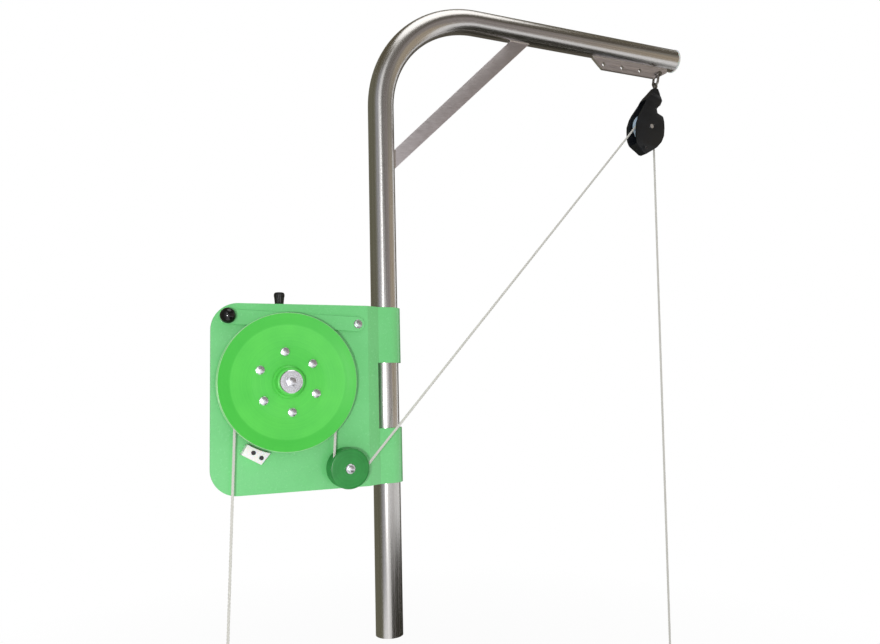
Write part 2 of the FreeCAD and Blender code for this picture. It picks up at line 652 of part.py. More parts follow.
# Half thickness against height, in sheave radii.
CHEEK_BULGE = [(0.225, -2.125), (0.5, -1.25), (0.55, -0.55), (0.55, 0.75), (0.375, 1.55), (0.375, 2.25)]
HEAD_BULGE = [(0.375, 1.75), (0.375, 2.3), (0.225, 2.7), (0.2, 3.25)]


def lean_offset(x, z):
    """A distance on the upright block, as it lies once the block leans."""
    a = math.radians(BLOCK_LEAN)
    return x * math.cos(a) + z * math.sin(a), z * math.cos(a) - x * math.sin(a)


def block_axle_place():
    """X and Z of the sheave's axle, hung from the last hole of the hanger, before the yaw."""
    slack = (HANGER_HOLE_D - SHACKLE_D) / 2 - SEAT
    dx, dz = lean_offset(BLOCK_OFFSET, BLOCK_DROP + slack)
    x = hanger_hole_x(HANGER_HOLES - 1)
    return x - dx, hanger_hole_z() - dz


def block_yaw():
    """The block turns under its shackle until the sheave faces the idler."""
    return math.atan2(-GROOVE_Y, hanger_hole_x(HANGER_HOLES - 1) - IDLER_X)


def in_block_plane(x, z):
    """A point of the block's upright plane, given before the yaw, where it really lies."""
    pivot = hanger_hole_x(HANGER_HOLES - 1)
    yaw = block_yaw()
    return Vector(pivot + (x - pivot) * math.cos(yaw), (x - pivot) * math.sin(yaw), z)


def hang(shape):
    """Swing a piece drawn on the upright block over about the axle, then yaw it."""
    x, z = block_axle_place()
    shape.rotate(Vector(x, 0, z), Y_AXIS, BLOCK_LEAN)
    pivot = Vector(hanger_hole_x(HANGER_HOLES - 1), 0, 0)
    shape.rotate(pivot, Z_AXIS, math.degrees(block_yaw()))
    return shape


def block_point(x, y, z):
    """A point given from the axle on the upright block."""
    ax, az = block_axle_place()
    return (ax + x, y, az + z)


def block_plate(outline, y0, y1):
    """A plate of the upright block from an outline in sheave radii."""
    ax, az = block_axle_place()
    return extruded([(ax + x * SHEAVE_R, az + z * SHEAVE_R) for x, z in outline], y0, y1)


def bulged(shape, bulge):
    """Keep what lies within a side outline given as (half thickness, height) points."""
    side = [(y * SHEAVE_R, z * SHEAVE_R) for y, z in bulge]
    side += [(-y, z) for y, z in reversed(side)]
    reach = REACH * SHEAVE_R
    points = [Vector(*block_point(-reach, y, z)) for y, z in side]
    face = Part.Face(Part.makePolygon(points + points[:1]))
    return shape.common(face.extrude(Vector(2 * reach, 0, 0)))


def block_cheek(side):
    near = side * BLOCK_GAP / 2
    far = side * (BLOCK_GAP / 2 + CHEEK_THICK)
    cheek = block_plate(CHEEK, min(near, far), max(near, far))
    below_head = block_point(0, 0, 0)[2] + (HEAD_FOOT - 0.1) * SHEAVE_R
    corners = [e for e in edges_along(cheek, Y_AXIS) if e.CenterOfMass.z < below_head]
    cheek = cheek.makeFillet(CHEEK_CORNER_R, corners)
    cheek = cheek.cut(cylinder(BLOCK_AXLE_D, block_point(0, near, 0), block_point(0, far, 0)))
    return hang(bulged(cheek, CHEEK_BULGE))


def swivel_eye_height():
    """Centre of the swivel eye, where it rests on the bow's crown."""
    slack = (EYE_BORE_D - SHACKLE_D) / 2 - SEAT
    return BLOCK_DROP - CROWN_DROP - slack


def eye_neck():
    """The eye's neck, from inside the head to the middle of the ring."""
    low = block_point(BLOCK_OFFSET, 0, HEAD_TOP * SHEAVE_R - EYE_NECK_DEPTH)
    return cylinder(EYE_NECK_D, low, block_point(BLOCK_OFFSET, 0, swivel_eye_height()))


def block_head():
    """The head that joins the cheeks, narrowed across the block towards the swivel eye."""
    half = REACH * SHEAVE_R
    head = bulged(block_plate(HEAD, -half, half), HEAD_BULGE)
    return hang(head.cut(eye_neck()))


def block_eye():
    z = swivel_eye_height()
    half = EYE_THICK / 2
    ring = cylinder(EYE_RING_D, block_point(BLOCK_OFFSET, -half, z), block_point(BLOCK_OFFSET, half, z))
    bore = cylinder(EYE_BORE_D, block_point(BLOCK_OFFSET, -half, z), block_point(BLOCK_OFFSET, half, z))
    neck = eye_neck().cut(ring)
    return hang(ring.fuse(neck).cut(bore).removeSplitter())


def block_foot():
    """The spacer that closes the block at the bottom, tapered like the cheeks."""
    half = BLOCK_GAP / 2
    foot = block_plate(CHEEK, -half, half)
    ax, az = block_axle_place()
    reach = REACH * SHEAVE_R
    keep = box(ax - reach, ax + reach, -half, half, az - reach, az + FOOT_TOP * SHEAVE_R)
    return hang(bulged(foot.common(keep), CHEEK_BULGE))


def block_axle():
    half = BLOCK_GAP / 2 + CHEEK_THICK + RIVET_STAND
    return hang(cylinder(BLOCK_AXLE_D, block_point(0, -half, 0), block_point(0, half, 0)))


def block_sheave():
    half = SHEAVE_WIDTH / 2
    bottom = SHEAVE_SEAT_R - ROPE_R - SEAT
    seat = ROPE_R + SEAT + 0.5
    bore = BLOCK_AXLE_D / 2 + RUNNING
    profile = [(bore, -half), (SHEAVE_R, -half), (SHEAVE_R, -half + 1.5), (bottom + 2, -seat)]
    profile += [(bottom, -seat + 2), (bottom, seat - 2), (bottom + 2, seat)]
    profile += [(SHEAVE_R, half - 1.5), (SHEAVE_R, half), (bore, half)]
    return hang(turned(profile, block_point(0, 0, 0), Y_AXIS))


def shackle_bow():
    """A round bar bent to a U, with an ear at each end for the pin."""
    crown = BLOCK_DROP - CROWN_DROP
    x = BLOCK_OFFSET
    r = SHACKLE_HALF
    t = SHACKLE_EAR_T / 2
    low = [block_point(x, y, crown + r) for y in (-r, r)]
    top = [block_point(x, y, BLOCK_DROP) for y in (-r, r)]
    pieces = [cylinder(SHACKLE_D, a, b) for a, b in zip(low, top)]
    for y in (-r, r):
        pieces.append(cylinder(SHACKLE_EAR_D, block_point(x, y - t, BLOCK_DROP),
                               block_point(x, y + t, BLOCK_DROP)))
    circle = Part.Circle(Vector(*low[1]), Z_AXIS, SHACKLE_D / 2).toShape()
    disc = Part.Face(Part.Wire([circle]))
    pieces.append(disc.revolve(Vector(*block_point(x, 0, crown + r)), X_AXIS, -180))
    bow = pieces[0].fuse(pieces[1:]).removeSplitter()
    bore_d = SHACKLE_D + 2 * RUNNING
    bore = cylinder(bore_d, block_point(x, -r - t, BLOCK_DROP), block_point(x, r + t, BLOCK_DROP))
    return hang(bow.cut(bore))


def shackle_pin():
    x = BLOCK_OFFSET
    end = SHACKLE_HALF + SHACKLE_EAR_T / 2
    z = BLOCK_DROP
    shank = cylinder(SHACKLE_D, block_point(x, -end, z), block_point(x, end + SHACKLE_HEAD_H, z))
    head = cylinder(SHACKLE_HEAD_D, block_point(x, -end, z), block_point(x, -end - SHACKLE_HEAD_H, z))
    return hang(shank.fuse(head).removeSplitter())


# ---- rope ---------------------------------------------------------------------------------
def tangent_heading(a, b):
    """Heading of the taut line from wrap a to wrap b. A wrap is (x, z, radius, side), and side
    is +1 where the rope turns clockwise round it and -1 where it turns the other way."""
    dx = b[0] - a[0]
    dz = b[1] - a[1]
    return math.atan2(dz, dx) - math.asin((a[2] * a[3] - b[2] * b[3]) / math.hypot(dx, dz))


def wrap_corners(wrap, heading_in, heading_out, count):
    """Corners of the polygon round a wrap, each with the length of its tangents."""
    x, z, radius, side = wrap
    turn = (heading_out - heading_in) / count
    corners = []
    for i in range(count):
        mid = heading_in + turn * (i + 0.5)
        reach = side * radius / math.cos(turn / 2)
        point = (x - math.sin(mid) * reach, z + math.cos(mid) * reach)
        corners.append((point, radius * math.tan(abs(turn) / 2)))
    return corners


def rope_route():
    """The rope from its hauled end over the wheel, under the idler and over the block."""
    ax, az = block_axle_place()
    wheel = (WHEEL_X, WHEEL_Z, WHEEL_SEAT_R, 1)
    idler = (IDLER_X, IDLER_Z, IDLER_SEAT_R, -1)
    sheave = (ax, az, SHEAVE_SEAT_R, 1)
    stops = [(*ROPE_LEFT_END, 0, 1), wheel, idler, sheave, (*ROPE_RIGHT_END, 0, 1)]
    headings = [tangent_heading(a, b) for a, b in zip(stops, stops[1:])]
    route = [(ROPE_LEFT_END, 0)]
    for wrap, count, h0, h1 in zip(stops[1:4], (4, 2, 2), headings, headings[1:]):
        route += wrap_corners(wrap, h0, h1, count)
    route.append((ROPE_RIGHT_END, 0))
    on_plate = [(Vector(x, GROOVE_Y, z), reach) for (x, z), reach in route[:7]]
    on_block = [(in_block_plane(x, z), reach) for (x, z), reach in route[7:]]
    return on_plate + on_block


def rope_path(route):
    """Straight runs joined by tangent arcs, and the radius of each arc."""
    edges = []
    radii = []
    here = route[0][0]
    for (before, _), (corner, reach), (after, _) in zip(route, route[1:], route[2:]):
        u = (corner - before).normalize()
        v = (after - corner).normalize()
        turn = u.getAngle(v)
        radius = reach / math.tan(turn / 2)
        a = corner - u * reach
        b = corner + v * reach
        inward = (v - u).normalize()
        crest = corner + inward * (radius / math.cos(turn / 2) - radius)
        if (a - here).Length > 0.001:
            edges.append(Part.LineSegment(here, a).toShape())
        edges.append(Part.Arc(a, crest, b).toShape())
        radii.append(radius)
        here = b
    edges.append(Part.LineSegment(here, route[-1][0]).toShape())
    return Part.Wire(edges), radii


def hauling_rope():
    path, radii = rope_path(rope_route())
    start, onward = rope_ends()[0]
    ring = Part.Wire([Part.Circle(start, onward, ROPE_R).toShape()])
    rope = path.makePipeShell([ring], True, True)
    section = math.pi * ROPE_R ** 2
    print("rope length %.1f mm, volume over section %.1f mm" % (path.Length, rope.Volume / section))
    print("rope arcs: " + " ".join("%.1f" % r for r in radii))
    return rope


def rope_ends():
    """Each end of the rope, with the direction that points out of it."""
    route = [p for p, _ in rope_route()]
    left = (route[0] - route[1]).normalize()
    right = (route[-1] - route[-2]).normalize()
    return (route[0], left), (route[-1], right)


def knot_profile():
    r = KNOT_D / 2
    a = ROPE_R + 0.5
    profile = [(0, 0), (ROPE_R, 0), (a, 2), (r - 2, 5), (r, 11), (r, KNOT_L - 13)]
    return profile + [(r - 2, KNOT_L - 6), (a, KNOT_L - 3), (a, KNOT_L), (0, KNOT_L)]


def tail_knot():
    """The stopper knot on the hauled end."""
    place, away = rope_ends()[0]
    return turned(knot_profile(), tuple(place), away)


def gear_eye():
    """The knotted eye on the end that runs to the water."""
    place, away = rope_ends()[1]
    knot = turned(knot_profile(), tuple(place), away)
    centre = place + away * (KNOT_L - 6 + LOOP_R)
    loop = Part.makeTorus(LOOP_R, ROPE_R, centre, Y_AXIS)
    return knot.fuse(loop).removeSplitter()


# ---- write the nodes ----------------------------------------------------------------------
def save(name, shape):
    """Write one node after checking that it is sound."""
    if not shape.isValid() or shape.Volume <= 0:
        raise ValueError("bad solid: " + name)
    shape.exportStep(os.path.join("parts", name + ".step"))
    print("%-18s solids %d volume %9.0f" % (name, len(shape.Solids), shape.Volume))


def main():
    os.makedirs("parts", exist_ok=True)
    save("davit_pipe", davit_pipe())
    save("arm_end_cap", arm_end_cap())
    save("arm_brace", arm_brace())
    save("hanger_plate", hanger_plate())
    save("mounting_plate", mounting_plate())
    save("wheel_front_disc", pressed_disc(-1))
    save("wheel_rear_disc", pressed_disc(1))
    save("wheel_boss", wheel_boss())
    save("wheel_backing", wheel_backing())
    save("wheel_bolts", wheel_bolts())
    save("drive_shaft", drive_shaft())
    save("shaft_cap", shaft_cap())
    save("motor_flange", motor_flange())
    save("motor_body", motor_body())
    save("motor_cover", motor_cover())
    save("flow_valve", flow_valve())
    save("valve_bonnet", valve_bonnet())
    save("valve_ports", valve_ports())
    save("knob_spindle", knob_spindle())
    save("flow_knob", flow_knob())
    save("lever_bar", lever_bar())
    save("lever_knob", lever_knob())
    save("lever_shaft", lever_shaft())
    save("start_valve", lever_valve())
    save("rope_stripper", rope_stripper())
    save("idler_roller", idler_roller())
    save("idler_axle", idler_axle())
    save("idler_nut", idler_nut())
    save("block_front_cheek", block_cheek(-1))
    save("block_rear_cheek", block_cheek(1))
    save("block_head", block_head())
    save("block_axle", block_axle())
    save("block_foot", block_foot())
    save("block_eye", block_eye())
    save("block_sheave", block_sheave())
    save("shackle_bow", shackle_bow())
    save("shackle_pin", shackle_pin())
    save("hauling_rope", hauling_rope())
    save("tail_knot", tail_knot())
    save("gear_eye", gear_eye())


main()
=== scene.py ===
# %% [markdown]
# # Dressing a davit line hauler
#
# The real machine is a bent stainless pipe that stands on a deck. A sheet plate is rolled round
# the pipe and carries a driven V-groove wheel, an idler and a lever. A cord runs from the wheel
# over a snatch block on the arm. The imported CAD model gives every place, and this script only
# gives it finer shapes, materials, light and a camera.

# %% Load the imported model
import json
import math
import bmesh
import bpy
from mathutils import Matrix, Vector, noise


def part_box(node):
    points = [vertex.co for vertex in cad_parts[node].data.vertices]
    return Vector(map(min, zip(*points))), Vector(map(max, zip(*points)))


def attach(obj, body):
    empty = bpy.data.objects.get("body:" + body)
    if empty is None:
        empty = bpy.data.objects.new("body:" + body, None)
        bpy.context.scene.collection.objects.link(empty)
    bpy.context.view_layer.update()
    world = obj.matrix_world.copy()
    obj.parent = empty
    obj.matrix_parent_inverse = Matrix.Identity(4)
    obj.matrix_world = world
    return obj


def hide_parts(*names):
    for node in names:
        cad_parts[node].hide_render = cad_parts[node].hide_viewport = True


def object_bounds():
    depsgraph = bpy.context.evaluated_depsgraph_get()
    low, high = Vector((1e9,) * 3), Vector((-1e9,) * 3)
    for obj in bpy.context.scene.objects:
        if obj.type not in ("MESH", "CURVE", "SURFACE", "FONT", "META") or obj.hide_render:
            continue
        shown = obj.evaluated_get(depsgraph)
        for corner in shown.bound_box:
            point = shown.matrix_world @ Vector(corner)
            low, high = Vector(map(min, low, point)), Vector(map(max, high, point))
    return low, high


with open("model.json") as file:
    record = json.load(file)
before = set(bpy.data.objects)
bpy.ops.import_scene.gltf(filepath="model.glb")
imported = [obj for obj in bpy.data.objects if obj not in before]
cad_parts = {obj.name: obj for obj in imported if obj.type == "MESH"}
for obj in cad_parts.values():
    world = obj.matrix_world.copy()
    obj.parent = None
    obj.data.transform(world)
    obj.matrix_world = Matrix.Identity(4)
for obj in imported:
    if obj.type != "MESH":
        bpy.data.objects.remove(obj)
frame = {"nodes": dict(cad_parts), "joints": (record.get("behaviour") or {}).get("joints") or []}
CAD_LOW, CAD_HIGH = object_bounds()
MM = 0.001
PLACE = {joint["name"]: Vector(joint["pos_m"]) for joint in frame["joints"]}
print("CAD box from", tuple(CAD_LOW), "to", tuple(CAD_HIGH))

# %% [markdown]
# ## Camera
#
# The camera stands low and to the left, about 1.7 m away, and looks slightly up, so that the
# wheel faces it and the arm runs off to the right. A constraint could track a target, but a fixed
# place and three angles are easier to repeat.

# %% Make the camera
def in_scene(name, data):
    """A new object in the scene that shows some data."""
    made = bpy.data.objects.new(name, data)
    bpy.context.scene.collection.objects.link(made)
    return made


camera = in_scene("camera", bpy.data.cameras.new("camera"))
camera.data.sensor_width = 36.0
camera.data.lens = 29.86
camera.location = (-0.52954, -1.57591, 0.53966)
camera.rotation_euler = [math.radians(a) for a in (95.046, 1.347, -22.833)]
bpy.context.scene.camera = camera
print("camera at", tuple(camera.location))

# %% [markdown]
# ## From a bmesh to a piece
#
# Most pieces start in a bmesh, Blender's editable mesh. These helpers turn one into an object that
# sits at the origin and rides on a CAD body. The operators of the 3D view could do it too, but they
# depend on what is selected. Edges sharper than 35 degrees stay crisp, the rest is shaded smooth.

# %% Piece helpers
SHARP = math.radians(35)


def object_from(name, bm, material):
    """Turn a bmesh into an object in the scene."""
    mesh = bpy.data.meshes.new(name)
    bm.to_mesh(mesh)
    bm.free()
    mesh.materials.append(material)
    print(name, len(mesh.polygons), "faces")
    return in_scene(name, mesh)


def piece(name, bm, material, body, stands_for=(), sharp=SHARP):
    """Finish a bmesh as one piece of the object, riding on a CAD body."""
    bmesh.ops.recalc_face_normals(bm, faces=bm.faces)
    for face in bm.faces:
        face.smooth = True
    for edge in bm.edges:
        if len(edge.link_faces) == 2 and edge.calc_face_angle(0) > sharp:
            edge.smooth = False
    made = object_from(name, bm, material)
    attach(made, body)
    if stands_for:
        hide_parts(*stands_for)
    return made


def dress(material, *nodes):
    """Give CAD nodes that keep their shape a finished material."""
    for name in nodes:
        mesh = frame["nodes"][name].data
        mesh.materials.clear()
        mesh.materials.append(material)
        print(name, "takes", material.name)


# %% [markdown]
# ## Turned shapes
#
# Much of the machine is turned. Such a piece could be built face by face, but spinning its profile
# about the axis, as a lathe does, gives clean rings of faces.

# %% Lathe
TOUCHING = 0.001 * MM


def to_axis(direction):
    """Rotation that turns +Z to a direction."""
    return Vector((0, 0, 1)).rotation_difference(Vector(direction)).to_matrix().to_4x4()


def lathe(bm, profile, centre, axis, steps=96, closed=False):
    """Spin (radius, height) points in mm about an axis through centre. A closed one is a ring."""
    place = Matrix.Translation(centre) @ to_axis(axis)
    verts = [bm.verts.new(place @ Vector((r * MM, 0, h * MM))) for r, h in profile]
    pairs = list(zip(verts, verts[1:])) + ([(verts[-1], verts[0])] if closed else [])
    edges = [bm.edges.new(pair) for pair in pairs]
    bmesh.ops.spin(bm, geom=verts + edges, cent=centre, axis=axis, angle=math.tau,
                   steps=steps, use_merge=True, use_duplicate=False)
    bmesh.ops.remove_doubles(bm, verts=bm.verts, dist=TOUCHING)


def rounded(profile, radius, steps=3):
    """Replace each inner corner of a profile by a short arc."""
    points = [Vector(p) for p in profile]
    out = [points[0]]
    for a, b, c in zip(points, points[1:], points[2:]):
        to_a = (a - b).normalized()
        to_c = (c - b).normalized()
        reach = min(radius, (a - b).length * 0.45, (c - b).length * 0.45)
        for i in range(steps + 1):
            t = i / steps
            from_a = (b + to_a * reach) * (1 - t) ** 2
            from_c = (b + to_c * reach) * t ** 2
            out.append(from_a + b * 2 * t * (1 - t) + from_c)
    out.append(points[-1])
    return [tuple(p) for p in out]


# %% [markdown]
# ## Softened copies
#
# No real edge is quite sharp, and a small round catches a line of light. Parts that are true in the
# CAD model need not be built again: a bevel on the edges of a copy that are sharper than 40 degrees
# is enough. Copies stay crisp from 22 degrees, which keeps the folds of bent sheet in sight.

# %% Softened copies
EDGE = math.radians(40)
FOLD = math.radians(22)


def softened(node, width, material, body="davit", segments=2):
    """A copy of a CAD node with its sharp edges rounded to width in mm. It stands for the node."""
    bm = bmesh.new()
    bm.from_mesh(frame["nodes"][node].data)
    bmesh.ops.remove_doubles(bm, verts=bm.verts, dist=0.01 * MM)
    bmesh.ops.dissolve_limit(bm, angle_limit=math.radians(1), verts=bm.verts, edges=bm.edges)
    edges = [e for e in bm.edges if len(e.link_faces) == 2 and e.calc_face_angle(0) > EDGE]
    bmesh.ops.bevel(bm, geom=edges, offset=width * MM, offset_type="OFFSET", affect="EDGES",
                    segments=segments, profile=0.5, material=-1, clamp_overlap=True)
    piece(node + "_finished", bm, material, body, [node], FOLD)


# %% [markdown]
# ## Helper for materials
#
# A material is a tree of nodes. It could be drawn by hand in the editor, but a script can be read
# and run again. One small function adds a node with its settings and links. Colours are sRGB hex
# values, as a paint chart gives them, and one function makes them linear, as the sockets want.

# %% Material helpers
def colour(code):
    """sRGB hex to linear."""
    parts = [int(code[i:i + 2], 16) / 255 for i in (1, 3, 5)]
    return [c / 12.92 if c <= 0.04045 else ((c + 0.055) / 1.055) ** 2.4 for c in parts] + [1.0]


def add(tree, kind, inputs=None, **options):
    """Add a shader node. inputs maps a socket's name or number to a value or to an output."""
    made = tree.nodes.new("ShaderNode" + kind)
    for name, value in options.items():
        setattr(made, name, value)
    for key, value in (inputs or {}).items():
        if isinstance(value, bpy.types.NodeSocket):
            tree.links.new(value, made.inputs[key])
        else:
            made.inputs[key].default_value = value
    return made


def finish(name, sockets):
    """A new material around one Principled shader. Returns the material, tree and shader."""
    print("material", name)
    material = bpy.data.materials.new(name)
    material.use_nodes = True
    tree = material.node_tree
    shader = tree.nodes["Principled BSDF"]
    for key, value in sockets.items():
        shader.inputs[key].default_value = value
    return material, tree, shader


def feed(tree, shader, sockets):
    """Link outputs to the sockets of a shader."""
    for key, output in sockets.items():
        tree.links.new(output, shader.inputs[key])


def position(tree, scale=(1, 1, 1), centre=(0, 0, 0)):
    """Object coordinates in mm, moved to a centre and stretched."""
    where = add(tree, "TexCoord").outputs["Object"]
    moved = add(tree, "VectorMath", {0: where, 1: centre}, operation="SUBTRACT").outputs[0]
    per_mm = [1000 * s for s in scale]
    return add(tree, "VectorMath", {0: moved, 1: per_mm}, operation="MULTIPLY").outputs[0]


# %% [markdown]
# ## Polished stainless pipe
#
# Stainless pipe is drawn and then polished lengthways, which leaves fine streaks that follow the
# bend. Noise that is stretched along one axis gives streaks, but on plain coordinates they would
# cut across the bend. So the piece carries an attribute, straight, that holds each point's place on
# the pipe before it was bent, and the streaks run round the bend with it. They are about 4 mm
# apart, coarser than real ones, so that they show.

# %% Pipe material
def pipe_steel():
    steel, tree, shader = finish("polished stainless pipe", {"Metallic": 1.0, "Roughness": 0.24})
    straight = add(tree, "Attribute", attribute_name="straight").outputs["Vector"]
    lines = add(tree, "VectorMath", {0: straight, 1: (260, 260, 1.2)}, operation="MULTIPLY").outputs[0]
    streaks = add(tree, "TexNoise", {"Vector": lines, "Scale": 1.0, "Detail": 5.0, "Roughness": 0.7})
    streak = streaks.outputs["Fac"]
    broad = add(tree, "VectorMath", {0: straight, 1: (40, 40, 0.8)}, operation="MULTIPLY").outputs[0]
    clouds = add(tree, "TexNoise", {"Vector": broad, "Scale": 1.0, "Detail": 3.0})
    tone = add(tree, "Mix", {0: clouds.outputs["Fac"], 6: colour("#BCB8B4"), 7: colour("#EBEAEA")},
               data_type="RGBA").outputs[2]
    fine = add(tree, "MapRange", {0: streak, 1: 0.3, 2: 0.7, 3: 0.80, 4: 1.08}).outputs[0]
    tinted = add(tree, "VectorMath", {0: tone, 3: fine}, operation="SCALE").outputs[0]
    rough = add(tree, "MapRange", {0: streak, 1: 0.25, 2: 0.75, 3: 0.16, 4: 0.34}).outputs[0]
    bump = add(tree, "Bump", {"Strength": 0.25, "Distance": 0.2 * MM, "Height": streak}).outputs[0]
    feed(tree, shader, {"Base Color": tinted, "Roughness": rough, "Normal": bump})
    return steel


PIPE_STEEL = pipe_steel()

# %% [markdown]
# ## Davit pipe
#
# The davit is one 60 mm pipe, bent cold to a quarter circle. A curve with a bevel would draw it
# too, but its wall would have no thickness. Here two rings, one for each face of the wall, are
# swept together: up, round the bend in 32 small turns, and out along the arm. They are joined at
# both ends, so the open foot shows its wall.

# %% Davit pipe
PIPE_LOW, PIPE_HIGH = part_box("davit_pipe")
PIPE_R = -PIPE_LOW.x
ARM_Z = PIPE_HIGH.z - PIPE_R
BEND_R = 250 * MM
BEND_STEPS = 32
WALL = 3 * MM


def sweep_step(bm, layer, ring, along, turn=None, move=None):
    """Extrude the rings once and note each new point's place on the straight pipe."""
    made = bmesh.ops.extrude_edge_only(bm, edges=ring)["geom"]
    verts = [g for g in made if isinstance(g, bmesh.types.BMVert)]
    edges = [g for g in made if isinstance(g, bmesh.types.BMEdge)]
    if turn:
        bmesh.ops.rotate(bm, verts=verts, cent=turn[0], matrix=Matrix.Rotation(turn[1], 3, "Y"))
    if move:
        bmesh.ops.translate(bm, verts=verts, vec=move)
    for vert in verts:
        vert[layer] = Vector((vert[layer].x, vert[layer].y, along))
    return edges


def edges_of(verts):
    """The edges that touch some points."""
    return list({edge for vert in verts for edge in vert.link_edges})


def foot_rings(bm, layer):
    """The two circles of the pipe's foot, joined by the face of its wall."""
    edges = []
    for radius in (PIPE_R, PIPE_R - WALL):
        ring = bmesh.ops.create_circle(bm, segments=96, radius=radius)["verts"]
        for vert in ring:
            vert[layer] = vert.co.copy()
        edges += edges_of(ring)
    bmesh.ops.bridge_loops(bm, edges=edges)
    return edges


def davit_pipe():
    bm = bmesh.new()
    layer = bm.verts.layers.float_vector.new("straight")
    bend_z = ARM_Z - BEND_R
    edges = sweep_step(bm, layer, foot_rings(bm, layer), bend_z, move=(0, 0, bend_z))
    for i in range(BEND_STEPS):
        along = bend_z + BEND_R * math.pi / 2 * (i + 1) / BEND_STEPS
        turn = ((BEND_R, 0, bend_z), math.pi / 2 / BEND_STEPS)
        edges = sweep_step(bm, layer, edges, along, turn=turn)
    run = PIPE_HIGH.x - BEND_R
    edges = sweep_step(bm, layer, edges, along + run, move=(run, 0, 0))
    bmesh.ops.bridge_loops(bm, edges=edges)
    piece("davit_pipe_polished", bm, PIPE_STEEL, "davit", ["davit_pipe"])


davit_pipe()

# %% [markdown]
# ## Cord
#
# The cord is a 6 mm three-strand rope of polyester. It hangs from its knotted end, runs over the
# wheel, under the idler and over the sheave, and ends in a knotted eye. Its line is a NURBS
# spline whose control points are the corners of the route. A chain of straight lines would kink.
# Up to the idler the route lies in the plane of the wheel's groove, so x and z give it.

# %% Cord route
ROPE_D = 6 * MM
GROOVE_Y = -0.0795
OVER_WHEEL = [
    (-0.3535, 0.042), (-0.33949, 0.51587), (-0.33694, 0.60223), (-0.27365, 0.66105),
    (-0.18733, 0.65727), (-0.12941, 0.59316), (-0.13441, 0.5069), (-0.14073, 0.39777),
    (-0.14317, 0.3557), (-0.10441, 0.33913),
]
OVER_SHEAVE = [
    (-0.07573, -0.07701, 0.36991), (0.73122, -0.00709, 1.23599), (0.75656, -0.00489, 1.26319),
    (0.79093, -0.00194, 1.24914), (0.79006, -0.00202, 1.21191), (0.7582, -0.00475, -0.145),
]
ROUTE = [(x, GROOVE_Y, z) for x, z in OVER_WHEEL] + OVER_SHEAVE


def curve_mesh(data):
    """The mesh that a curve makes. The curve itself is removed."""
    carrier = bpy.data.objects.new(data.name, data)
    mesh = bpy.data.meshes.new_from_object(carrier)
    bpy.data.objects.remove(carrier)
    bpy.data.curves.remove(data)
    return mesh


def spline_points(route):
    """Points along the NURBS line of a route."""
    data = bpy.data.curves.new("route", "CURVE")
    data.dimensions = "3D"
    data.resolution_u = 12
    spline = data.splines.new("NURBS")
    spline.points.add(len(route) - 1)
    for point, place in zip(spline.points, route):
        point.co = (*place, 1.0)
    spline.order_u = 3
    spline.use_endpoint_u = True
    mesh = curve_mesh(data)
    points = [v.co.copy() for v in mesh.vertices]
    bpy.data.meshes.remove(mesh)
    return points


def evenly(points, step):
    """The same line with its points a step apart."""
    out = [points[0]]
    left = step
    for a, b in zip(points, points[1:]):
        span = (b - a).length
        at = left
        while at <= span and span > 0:
            out.append(a.lerp(b, at / span))
            at += step
        left = at - span
    if (out[-1] - points[-1]).length > step * 0.3:
        out.append(points[-1])
    return out


rope_line = spline_points(ROUTE)
rope_length = sum((b - a).length for a, b in zip(rope_line, rope_line[1:]))
print("cord line", len(rope_line), "points,", round(rope_length, 3), "m")

# %% [markdown]
# ## Rope material
#
# Laid polyester is off-white, dull and hairy. Hairs could be drawn one by one, but at this size
# they only soften the edge. A little sheen does that, and noise about 0.7 mm across breaks the
# shade of each strand.

# %% Rope material
def rope_fibre():
    fibre, tree, shader = finish("laid polyester rope", {"Roughness": 0.75, "Sheen Weight": 0.25})
    where = position(tree)
    hairs = add(tree, "TexNoise", {"Vector": where, "Scale": 1.4, "Detail": 4.0}).outputs["Fac"]
    tone = add(tree, "Mix", {0: hairs, 6: colour("#C9C7BF"), 7: colour("#F1F0EA")},
               data_type="RGBA").outputs[2]
    bump = add(tree, "Bump", {"Strength": 0.5, "Distance": 0.3 * MM, "Height": hairs}).outputs[0]
    feed(tree, shader, {"Base Color": tone, "Normal": bump})
    return fibre


ROPE_FIBRE = rope_fibre()

# %% [markdown]
# ## Strands
#
# A bump map on one tube could hint at the three strands, but its outline would stay straight. So
# each strand is a round tube on a helix, one turn every 21 mm, and the twist shows as a row of
# slanting ridges.

# %% Strands
STRAND_R = ROPE_D / 4.15
LAY = 21 * MM
LAY_STEPS = 9


def strand_lines(line):
    """Three helices that wind round a line of points."""
    points = evenly(line, LAY / LAY_STEPS)
    offset = ROPE_D / 2 - STRAND_R
    across = Vector((0, 1, 0)).cross(points[1] - points[0]).normalized()
    helices = [[], [], []]
    for i, point in enumerate(points):
        ahead = (points[min(i + 1, len(points) - 1)] - points[max(i - 1, 0)]).normalized()
        across = (across - ahead * across.dot(ahead)).normalized()
        beside = ahead.cross(across)
        for k in range(3):
            turn = math.tau * (k / 3 + i / LAY_STEPS)
            helices[k].append(point + (across * math.cos(turn) + beside * math.sin(turn)) * offset)
    return helices


def laid_rope(bm, line):
    """Lay a rope of three strands along a line of points."""
    data = bpy.data.curves.new("strands", "CURVE")
    data.dimensions = "3D"
    data.bevel_depth = STRAND_R
    data.bevel_resolution = 1
    data.use_fill_caps = True
    for helix in strand_lines(line):
        spline = data.splines.new("POLY")
        spline.points.add(len(helix) - 1)
        for target, place in zip(spline.points, helix):
            target.co = (*place, 1.0)
    mesh = curve_mesh(data)
    bm.from_mesh(mesh)
    bpy.data.meshes.remove(mesh)


def hauling_rope():
    bm = bmesh.new()
    laid_rope(bm, rope_line)
    return piece("hauling_rope_laid", bm, ROPE_FIBRE, "davit", ["hauling_rope"])


rope = hauling_rope()

